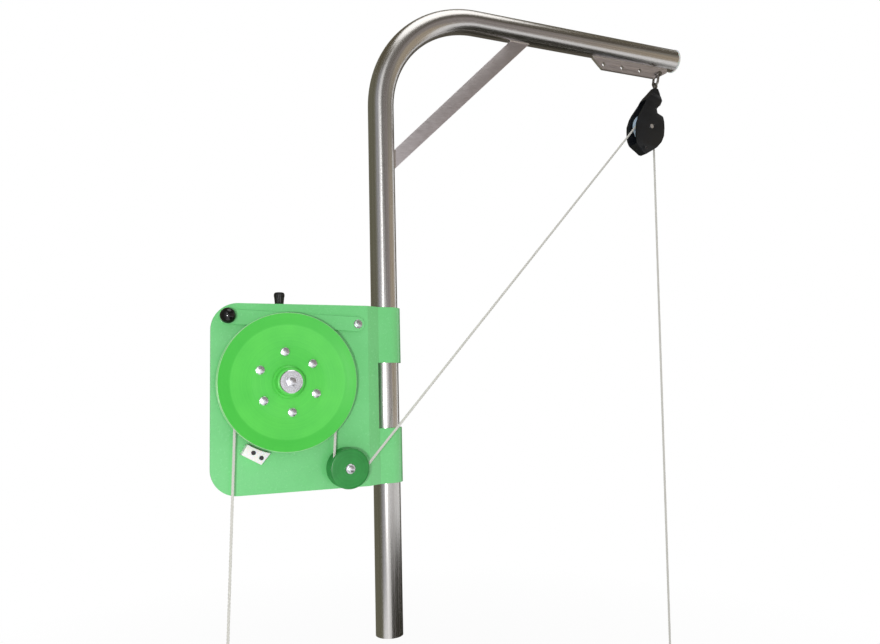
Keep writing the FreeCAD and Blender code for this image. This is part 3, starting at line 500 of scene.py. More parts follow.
# %% [markdown]
# ## Knots at the cord's ends
#
# A barrel knot is one core with nearly four turns laid round it. A true knot would have to be
# traced by hand, and at this size only the turns show, so both knots are a straight core and a
# helix. Below the right one the cord comes back to itself in an eye, which a pot clips to.

# %% Knots
COIL_STEPS = 24


def coil_line(centre, axis, radius, pitch, turns):
    """Points of a helix round an axis."""
    place = Matrix.Translation(centre) @ to_axis(axis)
    out = []
    for i in range(int(COIL_STEPS * turns) + 1):
        a = math.tau * i / COIL_STEPS
        out.append(place @ Vector((radius * math.cos(a), radius * math.sin(a), pitch * i / COIL_STEPS)))
    return out


def barrel_knot(bm, place, away):
    """Core and turns of a stopper knot that starts at place and runs along away."""
    laid_rope(bm, [place - away * 2 * MM, place + away * 33 * MM])
    laid_rope(bm, coil_line(place + away * 5 * MM, away, radius=6.4 * MM, pitch=5.6 * MM, turns=3.6))


def tail_knot():
    bm = bmesh.new()
    away = (Vector(ROUTE[0]) - Vector(ROUTE[1])).normalized()
    barrel_knot(bm, Vector(ROUTE[0]), away)
    return piece("tail_knot_laid", bm, ROPE_FIBRE, "davit", ["tail_knot"])


EYE_R = 23.5 * MM
EYE_STEPS = 24
KNOT_LENGTH = 24 * MM


def gear_eye():
    """The eye is one teardrop that leaves the knot and comes back into it."""
    bm = bmesh.new()
    end = Vector(ROUTE[-1])
    away = (end - Vector(ROUTE[-2])).normalized()
    barrel_knot(bm, end, away)
    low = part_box("gear_eye")[0].z + ROPE_D / 2
    neck = end + away * KNOT_LENGTH
    centre = Vector((neck.x, neck.y, low + 24 * MM)) + Vector((away.x, 0, 0)) * 20 * MM
    loop = [neck + Vector((-2, 0, 0)) * MM]
    for i in range(EYE_STEPS + 1):
        a = math.radians(130 + 280 * i / EYE_STEPS)
        loop.append(centre + Vector((math.cos(a), 0, math.sin(a))) * EYE_R)
    loop.append(neck + Vector((2, 0, 0)) * MM)
    laid_rope(bm, loop)
    return piece("gear_eye_laid", bm, ROPE_FIBRE, "davit", ["gear_eye"])


knots = [tail_knot(), gear_eye()]

# %% [markdown]
# ## Powder coat
#
# The plate and the lever are powder-coated: polyester powder baked to a skin about 0.1 mm thick.
# It is glossy, but the skin keeps a faint ripple like orange peel, about 3 mm from crest to crest.
# A flat green would look like plastic film, so one noise feeds the bump, a broad one, about 80 mm
# across, makes the colour a little uneven, and the peaks of a third, about 6 mm across, are small
# pale specks painted in as glints of the glossy skin. Each scale is in waves per mm.

# %% Powder coat
PEEL = 0.33
CLOUDS = 0.012
PAINTED_GLINT_SCALE = 0.16


def powder_coat(name, deep, pale, glint_colour):
    coat, tree, shader = finish(name, {"Roughness": 0.22, "IOR": 1.5, "Coat Weight": 0.4,
                                       "Coat Roughness": 0.1})
    where = position(tree)
    peel = add(tree, "TexNoise", {"Vector": where, "Scale": PEEL, "Detail": 2.0}).outputs["Fac"]
    clouds = add(tree, "TexNoise", {"Vector": where, "Scale": CLOUDS, "Detail": 3.0}).outputs["Fac"]
    tone = add(tree, "Mix", {0: clouds, 6: colour(deep), 7: colour(pale)}, data_type="RGBA").outputs[2]
    marks = add(tree, "TexNoise", {"Vector": where, "Scale": PAINTED_GLINT_SCALE, "Detail": 6.0,
                                   "Roughness": 0.72}).outputs["Fac"]
    # Painted glints: where this noise peaks, pale specks are mixed into the colour.
    painted_glint_share = add(tree, "MapRange", {0: marks, 1: 0.66, 2: 0.76, 3: 0.0, 4: 0.5}).outputs[0]
    tone = add(tree, "Mix", {0: painted_glint_share, 6: tone, 7: colour(glint_colour)}, data_type="RGBA").outputs[2]
    dull = add(tree, "MapRange", {0: marks, 1: 0.3, 2: 0.8, 3: 0.16, 4: 0.36}).outputs[0]
    bump = add(tree, "Bump", {"Strength": 0.35, "Distance": 0.3 * MM, "Height": peel}).outputs[0]
    feed(tree, shader, {"Base Color": tone, "Roughness": dull, "Normal": bump})
    return coat


# The last colour is that of the painted glints.
PLATE_COAT = powder_coat("green powder coat", "#70D47F", "#84E092", "#C4F2CC")

# %% [markdown]
# ## Turned and coated wheel
#
# The wheel's discs were turned before they were coated, and the faint grooves of the tool still
# show as rings about 2.5 mm apart. The idler is turned nylon, with rings of 1.6 mm. A wave texture
# would make rings that are too even, so noise reads the distance to the axis, and the rings turn
# with the wheel. The steep band near the rim is painted a deeper green as painted shade, and the
# rim is painted pale as a painted highlight.

# %% Turned finishes
WHEEL = PLACE["wheel_spin"]
IDLER = PLACE["idler_spin"]


def radius_from(tree, centre):
    """Distance in mm from an axis along Y through centre."""
    where = position(tree, (1, 0, 1), tuple(centre))
    return add(tree, "VectorMath", {0: where}, operation="LENGTH").outputs["Value"]


NO_PAINTED_SHADE = ("#000000", 1000)


def turned_coat(name, centre, deep, pale, ring_mm, strength, rough, painted_shade_band=NO_PAINTED_SHADE, edge=1000):
    """Ringed finish. Beyond the radius in mm of the shaded band it takes on some of that band's colour,
    a painted shade, and beyond the edge's radius it is painted pale, a painted highlight."""
    coat, tree, shader = finish(name, {"Roughness": rough, "IOR": 1.5})
    away = radius_from(tree, centre)
    ringed = add(tree, "CombineXYZ", {0: away}).outputs[0]
    rings = add(tree, "TexNoise", {"Vector": ringed, "Scale": 1 / ring_mm, "Detail": 3.0}).outputs["Fac"]
    clouds = add(tree, "TexNoise", {"Vector": position(tree), "Scale": 0.016, "Detail": 3.0})
    blend = add(tree, "Math", {0: rings, 1: clouds.outputs["Fac"]}, operation="ADD").outputs[0]
    share = add(tree, "MapRange", {0: blend, 1: 0.7, 2: 1.3, 3: 0.0, 4: 1.0}).outputs[0]
    tone = add(tree, "Mix", {0: share, 6: colour(deep), 7: colour(pale)}, data_type="RGBA").outputs[2]
    # Painted shade: beyond the band's radius the colour turns half-way to a deeper green.
    outer = add(tree, "MapRange", {0: away, 1: painted_shade_band[1], 2: painted_shade_band[1] + 2.0, 3: 0.0, 4: 0.5}).outputs[0]
    tone = add(tree, "Mix", {0: outer, 6: tone, 7: colour(painted_shade_band[0])}, data_type="RGBA").outputs[2]
    # Painted highlight: beyond the edge's radius the colour turns pale.
    painted_rim_highlight = add(tree, "MapRange", {0: away, 1: edge, 2: edge + 0.6, 3: 0.0, 4: 0.75}).outputs[0]
    tone = add(tree, "Mix", {0: painted_rim_highlight, 6: tone, 7: colour("#D4F5D0")}, data_type="RGBA").outputs[2]
    bump = add(tree, "Bump", {"Strength": strength, "Distance": 0.2 * MM, "Height": rings}).outputs[0]
    feed(tree, shader, {"Base Color": tone, "Normal": bump})
    return coat


# The deeper green from 116 mm is painted shade, and the pale rim from 140 mm is a painted highlight.
WHEEL_COAT = turned_coat("turned and coated aluminium", WHEEL, "#54D052", "#62DE58", 2.5, 0.2, 0.3,
                         ("#38BE3A", 116), 140.0)
IDLER_COAT = turned_coat("turned green nylon", IDLER, "#227A34", "#36A04A", 1.6, 0.6, 0.34)

# %% [markdown]
# ## Metals
#
# Brace and hanger are stainless bar with a ground finish, duller than the pipe. Bolts, washers
# and the shaft's cap are bright plated steel, and the shackle is duller, from its zinc coat. All
# are metals, so their base colour is their reflection. Only tones, roughness and grain differ, so
# instead of five trees one function makes them all.

# %% Metals
def ground_steel(name, deep, pale, rough, grain):
    """Metal with short grinding marks. grain stretches the noise along one axis."""
    metal, tree, shader = finish(name, {"Metallic": 1.0, "Roughness": rough})
    grit = add(tree, "TexNoise", {"Vector": position(tree, grain), "Scale": 0.8, "Detail": 4.0})
    marks = grit.outputs["Fac"]
    tone = add(tree, "Mix", {0: marks, 6: colour(deep), 7: colour(pale)}, data_type="RGBA").outputs[2]
    dull = add(tree, "MapRange", {0: marks, 1: 0.3, 2: 0.7, 3: rough - 0.08, 4: rough + 0.1}).outputs[0]
    bump = add(tree, "Bump", {"Strength": 0.3, "Distance": 0.1 * MM, "Height": marks}).outputs[0]
    feed(tree, shader, {"Base Color": tone, "Roughness": dull, "Normal": bump})
    return metal


BAR_STEEL = ground_steel("ground stainless bar", "#D0C9CC", "#F8F3F6", 0.42, (0.06, 1.0, 0.9))
BOLT_STEEL = ground_steel("bright plated steel", "#D6D6DD", "#F6F6FB", 0.22, (1, 1, 1))
WELD_STEEL = ground_steel("stainless weld bead", "#A89F98", "#DAD4CE", 0.34, (1, 1, 1))
SHACKLE_STEEL = ground_steel("galvanised shackle steel", "#6B6863", "#A29E98", 0.36, (1, 1, 1))
ALLOY = ground_steel("cast aluminium alloy", "#8F9296", "#B5B8BB", 0.5, (1, 1, 1))

# %% [markdown]
# ## Plastics
#
# The snatch block is moulded black nylon with a fine sparked texture. The two knobs are
# phenolic, which is denser and takes a high gloss. The rope stripper and the pipe's end cap are
# milky polyethylene, which lets a little light in. Transmission would make them glass, so they have
# some subsurface scattering instead. Motor enamel and blackened screws have the same grainy skin
# and come from the same function.

# %% Plastics
def moulded(name, deep, pale, rough, grain_mm, depth_mm, milky=0.0):
    """A grainy skin of two close tones. milky is the share of light that goes in."""
    plastic, tree, shader = finish(name, {"Roughness": rough, "IOR": 1.5, "Subsurface Weight": milky,
                                          "Subsurface Scale": 3 * MM})
    where = position(tree)
    grain = add(tree, "TexNoise", {"Vector": where, "Scale": 1 / grain_mm, "Detail": 3.0}).outputs["Fac"]
    clouds = add(tree, "TexNoise", {"Vector": where, "Scale": 0.05, "Detail": 3.0}).outputs["Fac"]
    tone = add(tree, "Mix", {0: clouds, 6: colour(deep), 7: colour(pale)}, data_type="RGBA").outputs[2]
    dull = add(tree, "MapRange", {0: clouds, 1: 0.3, 2: 0.7, 3: rough - 0.05, 4: rough + 0.08}).outputs[0]
    bump = add(tree, "Bump", {"Strength": 0.4, "Distance": depth_mm * MM, "Height": grain}).outputs[0]
    feed(tree, shader, {"Base Color": tone, "Roughness": dull, "Normal": bump})
    return plastic


BLOCK_NYLON = moulded("moulded black nylon", "#0A0D12", "#141920", 0.46, 0.9, 0.08)
KNOB_GLOSS = moulded("glossy black phenolic", "#0B0B0C", "#141415", 0.12, 4.0, 0.04)
KNOB_MATT = moulded("satin black phenolic", "#141414", "#1F1F1F", 0.36, 1.0, 0.08)
WHITE_PE = moulded("white polyethylene", "#F5F3EF", "#FDFCFA", 0.45, 1.5, 0.08, 0.15)
CAP_PE = moulded("milky polyethylene", "#DADDDB", "#EEF0EE", 0.3, 2.0, 0.06, 0.2)
SHEAVE_PA = moulded("pale blue acetal", "#9FB8CC", "#C4D6E4", 0.24, 2.0, 0.05, 0.1)
MOTOR_COAT = moulded("black motor enamel", "#202224", "#2E3033", 0.4, 1.2, 0.2)
SOCKET_DARK = moulded("blackened screw steel", "#1D1A1D", "#322C30", 0.4, 0.8, 0.05)

# %% [markdown]
# ## Mounting plate and lever
#
# The plate is 5 mm sheet with laser-cut edges, which a coat of powder rounds off. It could be
# modelled again, but the CAD shape already has the joggle, the rolled sleeves and the slot, so a
# merged copy of it gets a small bevel on its sharp edges. The lever is finished the same way.

# %% Plate and lever
softened("mounting_plate", 0.9, PLATE_COAT)
softened("lever_bar", 0.8, PLATE_COAT, "lever")

# %% [markdown]
# ## Hauling wheel
#
# Two spun discs face each other and make the V groove that grips the cord. The CAD copy has plain
# corners, and a bevel would round all of them alike. Here each disc is one closed outline, spun
# round the axis: a flat middle, a shallow cone and a steeper rim band, with round knees and a rim
# that is turned over, which catches a thin line of light.

# %% Wheel discs
def wheel_disc(name, side, node):
    """side is -1 for the front disc and 1 for the rear one. The outline is (radius, height)."""
    inner = [(12.6, 0.05), (76, 0.05), (117, 5.0), (139.0, 9.8)]
    outer = [(139.0, 13.9), (116.2, 9.0), (75.6, 4.0), (12.6, 4.0)]
    lip = [(140.2, 9.9), (141.0, 10.8), (141.0, 13.2), (140.2, 14.1)]
    bm = bmesh.new()
    outline = rounded(inner, 7, 4) + lip + rounded(outer, 7, 4)
    lathe(bm, outline, WHEEL, (0, side, 0), 144, True)
    piece(name, bm, WHEEL_COAT, "hauling_wheel", [node])


wheel_disc("wheel_front_disc_spun", -1, "wheel_front_disc")
wheel_disc("wheel_rear_disc_spun", 1, "wheel_rear_disc")

# %% [markdown]
# ## Bolts
#
# A real hexagon head has a round chamfer on top of its six corners, and it sits on a washer. A
# true chamfer is a cone cut through the corners, but at this size a bevel on the top edges of a
# six-sided cylinder looks the same, and a short lathe profile gives the washer. One helper serves
# every bolt on the machine.

# %% Hexagon heads and washers
def hex_head(bm, place, axis, flats, height, turn=0.0):
    """A chamfered hexagon that stands on place. Sizes in mm."""
    where = Matrix.Translation(Vector(place)) @ to_axis(axis) @ Matrix.Rotation(turn, 4, "Z")
    middle = where @ Matrix.Translation((0, 0, height / 2 * MM))
    corner = flats / math.sqrt(3) * MM
    made = bmesh.ops.create_cone(bm, cap_ends=True, segments=6, radius1=corner, radius2=corner,
                                 depth=height * MM, matrix=middle)
    lid = [f for f in {f for v in made["verts"] for f in v.link_faces}
           if (where.inverted() @ f.calc_center_median()).z > height * 0.9 * MM]
    edges = [e for f in lid for e in f.edges]
    bmesh.ops.bevel(bm, geom=edges, offset=0.11 * flats * MM, offset_type="OFFSET", affect="EDGES",
                    segments=2, profile=0.5, material=-1, clamp_overlap=True)


def washer(bm, place, axis, radius, thick):
    """A disc with chamfered edges that stands on place. Sizes in mm."""
    rim = 0.25 * thick
    outline = [(0, 0), (radius - rim, 0), (radius, rim)]
    outline += [(radius, thick - rim), (radius - rim, thick), (0, thick)]
    lathe(bm, outline, place, axis, 40)


# %% [markdown]
# ## The wheel's bolts
#
# Six bolts clamp the two discs together, heads in front and nuts behind. Tight bolts end up turned
# to any angle, so each head gets its own turn. Copies of one bolt would line up.

# %% Wheel bolts
FRONT = (0, -1, 0)
REAR = (0, 1, 0)
BOLT_CIRCLE = 62 * MM
FIRST_BOLT = 36.5
FRONT_FACE = -83.55 * MM
REAR_FACE = -75.45 * MM


def wheel_bolts():
    bm = bmesh.new()
    for i in range(6):
        angle = math.radians(FIRST_BOLT + 60 * i)
        x = WHEEL.x + BOLT_CIRCLE * math.cos(angle)
        z = WHEEL.z + BOLT_CIRCLE * math.sin(angle)
        washer(bm, (x, FRONT_FACE, z), FRONT, 9.2, 1.3)
        hex_head(bm, (x, FRONT_FACE - 1.25 * MM, z), FRONT, 16, 5.1, 0.4 + i)
        washer(bm, (x, REAR_FACE, z), REAR, 9.0, 1.0)
        hex_head(bm, (x, REAR_FACE + 0.95 * MM, z), REAR, 15.5, 3.9, 0.2 * i)
    piece("wheel_bolts_bright", bm, BOLT_STEEL, "hauling_wheel", ["wheel_bolts"])


wheel_bolts()

# %% [markdown]
# ## Boss and shaft cap
#
# The boss is a turned collar that carries the wheel on its shaft. Its cap is a thick washer of
# bright steel with turned rings, held by one bolt, the brightest spot on the machine. A bump map
# could draw the rings, but real steps in the profile catch the light from every side.

# %% Boss and cap
BOSS_BACK = -83.5


def level(centre, y):
    """The point at y in mm on an axis that runs along Y through centre."""
    return Vector((centre.x, y * MM, centre.z))


def wheel_boss():
    bm = bmesh.new()
    flange = [(12.5, 0.1), (34, 0.1), (34, 4.5)]
    collar = [(28.4, 8.5), (28, 25), (26, 27), (12.5, 27)]
    lathe(bm, rounded(flange + collar, 2.2), level(WHEEL, BOSS_BACK), FRONT, 96, True)
    piece("wheel_boss_turned", bm, WHEEL_COAT, "hauling_wheel", ["wheel_boss"])


def shaft_cap():
    bm = bmesh.new()
    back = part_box("shaft_cap")[1].y / MM
    rim = [(0, 0), (22.6, 0), (23.4, 0.8), (23.4, 3.6), (22.0, 5.0)]
    rings = [(19.0, 5.0), (18.4, 4.4), (15.6, 4.4), (15.0, 5.0), (12.4, 5.0), (11.9, 4.5), (0, 4.5)]
    lathe(bm, rim + rings, level(WHEEL, back), FRONT, 96)
    washer(bm, level(WHEEL, back - 4.5), FRONT, 10.6, 1.2)
    hex_head(bm, level(WHEEL, back - 5.6), FRONT, 16.5, 5.2, 0.3)
    piece("shaft_cap_bright", bm, BOLT_STEEL, "hauling_wheel", ["shaft_cap"])


wheel_boss()
shaft_cap()
softened("wheel_backing", 0.6, WHEEL_COAT, "hauling_wheel")
dress(BOLT_STEEL, "drive_shaft")

# %% [markdown]
# ## Idler
#
# The idler is turned nylon: two flanges with round edges and a V groove between. It turns on a
# bolt that passes through a spacer to the plate. The CAD roller is true, but its corners are sharp,
# so the roller is one closed profile with every corner rounded, spun about the bolt.

# %% Idler
PLATE_FRONT = -53.5
IDLER_HALF = 19


def idler_roller():
    face = [(6.2, -IDLER_HALF), (39.4, -IDLER_HALF), (42, -16.4), (42, -14.0), (29.0, -3.8), (26.7, -2.0)]
    back = [(r, -h) for r, h in reversed(face)]
    bm = bmesh.new()
    lathe(bm, rounded(face + back, 1.8), IDLER, FRONT, 112, True)
    piece("idler_roller_turned", bm, IDLER_COAT, "idler", ["idler_roller"])


def idler_axle():
    """Washer, head and shank of the bolt, and the spacer between roller and plate."""
    bm = bmesh.new()
    front = IDLER.y / MM - IDLER_HALF - 1.0
    washer(bm, level(IDLER, front), FRONT, 10, 2)
    hex_head(bm, level(IDLER, front - 1.9), FRONT, 13, 7.6, 0.5)
    lathe(bm, [(0, 0), (6, 0), (6, 45), (0, 45)], level(IDLER, front + 0.2), REAR, 32)
    lathe(bm, [(6, 0), (12, 0), (12, 6), (6, 6)], level(IDLER, PLATE_FRONT - 6), REAR, 48, True)
    piece("idler_axle_bright", bm, BOLT_STEEL, "davit", ["idler_axle"])


idler_roller()
idler_axle()
softened("idler_nut", 0.6, BOLT_STEEL)

# %% [markdown]
# ## Lever pivot and ball knob
#
# The lever turns on a shaft through the plate, held by a washer and a bolt. Its other end has a
# black ball knob with a short collar. A sphere on a cylinder would leave a hard seam, so collar and
# ball are turned as one profile.

# %% Lever details
LEVER = PLACE["start_lever"]
LEVER_FRONT = -60.0
BALL_R = 15.95
BALL_HEIGHT = 14
BALL_STEPS = 24


def lever_pivot():
    bm = bmesh.new()
    washer(bm, level(LEVER, LEVER_FRONT), FRONT, 9.5, 1.5)
    hex_head(bm, level(LEVER, LEVER_FRONT - 1.4), FRONT, 13, 6.3, 0.6)
    start = LEVER_FRONT - 0.2
    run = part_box("lever_shaft")[1].y / MM - start
    lathe(bm, [(0, 0), (7, 0), (7, run), (0, run)], level(LEVER, start), REAR, 40)
    piece("lever_pivot_bright", bm, BOLT_STEEL, "lever", ["lever_shaft"])


def ball_knob():
    bm = bmesh.new()
    low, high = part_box("lever_knob")
    middle = (low + high) / 2
    outline = [(0, 0), (7.6, 0), (8.2, 0.6), (8.2, 2.2), (7.4, 3.0)]
    for i in range(1, BALL_STEPS + 1):
        a = math.radians(-62 + 152 * i / BALL_STEPS)
        outline.append((BALL_R * math.cos(a), BALL_HEIGHT + BALL_R * math.sin(a)))
    outline[-1] = (0, outline[-1][1])
    lathe(bm, outline, (middle.x, high.y, middle.z), FRONT, 64)
    piece("lever_ball_knob", bm, KNOB_GLOSS, "lever", ["lever_knob"])


lever_pivot()
ball_knob()

# %% [markdown]
# ## Flow knob
#
# The knob on the valve is moulded with shallow flutes for the fingers. Twelve cutters and a boolean
# would carve them, but they leave ragged faces. So the profile is spun round first, and then each
# point between foot and crown moves inwards with the cosine of twelve times its angle.

# %% Flow knob
FLOW = PLACE["flow_turn"]
FLUTES = 12
FLUTE_DEPTH = 0.45 * MM
FLUTE_FOOT, FLUTE_TOP = 4, 33


def flow_knob():
    bm = bmesh.new()
    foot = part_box("flow_knob")[0].z
    stem = [(0, 0), (7.6, 0), (8.4, 0.8), (8.6, 3), (9.6, 16), (10.7, 27.0)]
    crown = [(11.4, 29.5), (11.4, 34.4), (9.6, 37.4), (7.5, 38.0), (0, 38.0)]
    lathe(bm, rounded(stem + crown, 2.0), (FLOW.x, FLOW.y, foot), (0, 0, 1), 144)
    for vert in bm.verts:
        if FLUTE_FOOT < (vert.co.z - foot) / MM < FLUTE_TOP:
            arm = Vector((vert.co.x - FLOW.x, vert.co.y - FLOW.y, 0))
            wave = 1 + math.cos(FLUTES * math.atan2(arm.y, arm.x))
            vert.co -= arm.normalized() * FLUTE_DEPTH * wave / 2
    piece("flow_knob_fluted", bm, KNOB_MATT, "flow_control", ["flow_knob"])


flow_knob()
dress(BOLT_STEEL, "knob_spindle")

# %% [markdown]
# ## Rope stripper
#
# A small polyethylene block leads the cord out of the groove. Its CAD shape only needs round edges.
# Two socket-head screws hold it. A boolean would cut the hexagon socket, but it is cleaner to turn
# the head with an open top, bridge the opening to a hexagon, and pull that down to a floor.

# %% Rope stripper
SCREW_PLACES = [(-0.3045, 0.4170), (-0.2890, 0.4060)]


def socket_screw(bm, place, axis, radius, height, recess):
    """A cap screw's head, standing on place, with a hexagon socket. Sizes in mm."""
    top = Matrix.Translation(Vector(place)) @ to_axis(axis) @ Matrix.Translation((0, 0, height * MM))
    outline = [(0, 0), (radius, 0), (radius, height - 0.8), (radius - 0.8, height), (recess, height)]
    lathe(bm, outline, place, axis, 36)
    made = bmesh.ops.create_circle(bm, segments=36, radius=recess * MM, matrix=top)
    rim = edges_of(made["verts"])
    made = bmesh.ops.create_circle(bm, segments=6, radius=recess * 0.9 * MM, matrix=top)
    hexagon = edges_of(made["verts"])
    bmesh.ops.bridge_loops(bm, edges=rim + hexagon)
    low = bmesh.ops.extrude_edge_only(bm, edges=hexagon)["geom"]
    floor_verts = [g for g in low if isinstance(g, bmesh.types.BMVert)]
    bmesh.ops.translate(bm, verts=floor_verts, vec=Vector(axis) * -height * 0.6 * MM)
    bmesh.ops.contextual_create(bm, geom=floor_verts)
    bmesh.ops.remove_doubles(bm, verts=bm.verts, dist=TOUCHING)


def stripper_screws():
    bm = bmesh.new()
    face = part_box("rope_stripper")[0].y
    for x, z in SCREW_PLACES:
        socket_screw(bm, (x, face + 0.1 * MM, z), FRONT, 4.4, 2.2, 2.6)
    piece("stripper_screws", bm, SOCKET_DARK, "davit")


softened("rope_stripper", 1.4, WHITE_PE, "davit", 3)
stripper_screws()

# %% [markdown]
# ## Brace, hanger and their welds
#
# Brace and hanger are ground bar with broken edges, so a bevel on the CAD shapes is enough. A weld
# bead is a row of small overlapping puddles. A bumpy tube would look soft, so each bead here is a
# row of squashed spheres a little closer together than they are wide, each of its own size.

# %% Brace, hanger and welds
softened("arm_brace", 2.4, BAR_STEEL, "davit", 3)
softened("hanger_plate", 0.8, BAR_STEEL)


def bead(bm, start, end, radius, pitch=2.6):
    """Overlapping puddles from start to end. Sizes in mm."""
    start, end = Vector(start), Vector(end)
    count = max(2, int((end - start).length / pitch))
    for i in range(count + 1):
        spot = start.lerp(end, i / count) * MM
        size = radius * (1 + 0.12 * noise.noise(spot * 700)) * MM
        made = bmesh.ops.create_icosphere(bm, subdivisions=2, radius=size)
        bmesh.ops.scale(bm, verts=made["verts"], vec=(1.0, 0.8, 1.0))
        bmesh.ops.translate(bm, verts=made["verts"], vec=spot)


HANGER_SIDE = 4.4
BRACE_SIDE = 5.6


def welds():
    """Beads on both sides of the hanger's top and of the brace's two ends."""
    bm = bmesh.new()
    under = (ARM_Z - PIPE_R) / MM
    low, high = (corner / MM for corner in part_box("hanger_plate"))
    for y in (-HANGER_SIDE, HANGER_SIDE):
        bead(bm, (low.x + 3, y, under + 0.1), (high.x - 3, y, under + 0.1), 2.4)
    low, high = (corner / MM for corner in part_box("arm_brace"))
    post = PIPE_R / MM - 0.3
    for y in (-BRACE_SIDE, BRACE_SIDE):
        bead(bm, (post, y, low.z + 4), (post, y, low.z + 43), 2.6)
        bead(bm, (high.x - 54, y, under + 0.2), (high.x - 3, y, under + 0.2), 2.6)
    piece("weld_beads", bm, WELD_STEEL, "davit")


welds()

# %% [markdown]
# ## End cap
#
# A milky plug closes the arm. Only its brim and its low dome show. A squashed sphere would meet the
# brim at a crease, so plug, brim and dome are one profile, and the dome is a quarter of an ellipse
# that leaves the brim upright.

# %% End cap
PLUG_R = 26.8
PLUG_DEPTH = 22
BRIM = 3.6
DOME_STEPS = 10


def end_cap():
    bm = bmesh.new()
    rim = PIPE_R / MM + 1
    dome = (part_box("arm_end_cap")[1].x - PIPE_HIGH.x) / MM
    outline = [(PLUG_R, -PLUG_DEPTH), (PLUG_R, 0), (rim - 0.2, 0), (rim, 0.4), (rim, BRIM)]
    for i in range(1, DOME_STEPS + 1):
        a = math.pi / 2 * i / DOME_STEPS
        outline.append((rim * math.cos(a), BRIM + (dome - BRIM) * math.sin(a)))
    outline[-1] = (0, dome)
    lathe(bm, outline, (PIPE_HIGH.x, 0, ARM_Z), (1, 0, 0), 96)
    piece("arm_end_cap_moulded", bm, CAP_PE, "davit", ["arm_end_cap"])


end_cap()

# %% [markdown]
# ## Snatch block
#
# The block's cheeks are moulded nylon with soft edges, and it hangs from a small galvanised eye and
# shackle. Sculpting would add nothing, as the CAD shapes are true: the cheeks need rounder edges,
# and eye and shackle only a finish.

# %% Snatch block
for name in ("block_front_cheek", "block_rear_cheek", "block_head", "block_foot"):
    softened(name, 1.6, BLOCK_NYLON, "davit", 3)
softened("block_axle", 0.5, BOLT_STEEL)
dress(SHACKLE_STEEL, "block_eye", "shackle_bow", "shackle_pin")

# %% [markdown]
# ## Sheave and its screw
#
# The sheave is pale and glossy, with a groove for the cord. The block hangs turned a few degrees
# towards the wheel, so the sheave's axis is not quite along Y. Its profile could be spun along Y
# and then turned, but the lathe takes any axis, so it is spun in place. The screw that closes the
# foot of the cheeks follows the same axis.

# %% Sheave and screw
SHEAVE_AXIS = Vector(next(j for j in frame["joints"] if j["name"] == "sheave_spin")["axis"])
HALF_BLOCK = 21.9


def sheave():
    """The groove's profile, spun about the sheave's own axis."""
    side = [(6.2, -9), (39.2, -9), (40, -8.2), (40, -7.4), (25.6, -3.6), (23.9, -1.8)]
    outline = rounded(side + [(r, -h) for r, h in reversed(side)], 1.2)
    bm = bmesh.new()
    lathe(bm, outline, PLACE["sheave_spin"], SHEAVE_AXIS, 96, True)
    piece("block_sheave_moulded", bm, SHEAVE_PA, "sheave", ["block_sheave"])


def block_screw():
    """The screw's head stands on the outer side of the front cheek."""
    low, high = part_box("block_foot")
    out = SHEAVE_AXIS if SHEAVE_AXIS.y < 0 else -SHEAVE_AXIS
    bm = bmesh.new()
    socket_screw(bm, (low + high) / 2 + out * HALF_BLOCK * MM, out, 4.0, 1.6, 2.2)
    piece("block_foot_screw", bm, SOCKET_DARK, "davit")


sheave()
block_screw()

# %% [markdown]
# ## Drive unit
#
# Behind the plate a hydraulic motor turns the wheel. Its flange is held by four cap screws, and
# its body and end cover are painted castings. The valves are alloy blocks with plated unions. Most
# of it is hidden from the front, so CAD shapes with rounded edges are enough.

# %% Drive unit
FLANGE_SCREW = 41 * MM
for name, width in (("motor_flange", 1.2), ("motor_body", 1.0), ("motor_cover", 1.4)):
    softened(name, width, MOTOR_COAT)
for name, width in (("flow_valve", 1.0), ("start_valve", 1.0), ("valve_bonnet", 0.8)):
    softened(name, width, ALLOY)
softened("valve_ports", 0.6, BOLT_STEEL)


def flange_screws():
    """Four screws in a square round the wheel's axis."""
    bm = bmesh.new()
    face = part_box("motor_flange")[1].y
    for x in (-FLANGE_SCREW, FLANGE_SCREW):
        for z in (-FLANGE_SCREW, FLANGE_SCREW):
            place = (WHEEL.x + x, face - 0.05 * MM, WHEEL.z + z)
            socket_screw(bm, place, REAR, 6.5, 7, 3.6)
    piece("motor_screws", bm, BOLT_STEEL, "davit")


flange_screws()

# %% [markdown]
# ## Surroundings
#
# An even white surround gives the plain ground of a studio. As a lamp it would be too strong, so
# rays that come from matt surfaces meet a darker one. The light path tells the rays apart, which
# is easier than a large white tent with its own lamps.

# %% Surround
def direct(tree):
    """1 for rays from the camera, off a glossy surface or through a clear one, otherwise 0."""
    ray = add(tree, "LightPath").outputs
    seen = add(tree, "Math", {0: ray["Is Camera Ray"], 1: ray["Is Glossy Ray"]}, operation="MAXIMUM")
    return add(tree, "Math", {0: seen.outputs[0], 1: ray["Is Transmission Ray"]},
               operation="MAXIMUM").outputs[0]


def surround():
    world = bpy.data.worlds.new("studio")
    bpy.context.scene.world = world
    world.use_nodes = True
    tree = world.node_tree
    tree.nodes.clear()
    light = add(tree, "Background", {"Color": colour("#FFFFFF"), "Strength": 0.46})
    ground = add(tree, "Background", {"Color": colour("#FFFFFF"), "Strength": 1.0})
    seen = add(tree, "MixShader", {0: direct(tree), 1: light.outputs[0], 2: ground.outputs[0]})
    add(tree, "OutputWorld", {"Surface": seen.outputs[0]})
    print("world", world.name)


surround()

# %% [markdown]
# ## Floor
#
# The floor is pale paper. Plain paper would end in a grey line where it meets the surround, so it
# fades to pure white: close to the pipe's foot it keeps a trace of shade, and from 1.6 m on it is
# as white as the surround.

# %% Floor
FLOOR_R = 12.0
FLOOR_Z = CAD_LOW.z - 4 * MM


def stage_piece(name, bm, material):
    """Make a bmesh into an object that rides on no CAD body."""
    made = object_from(name, bm, material)
    return made


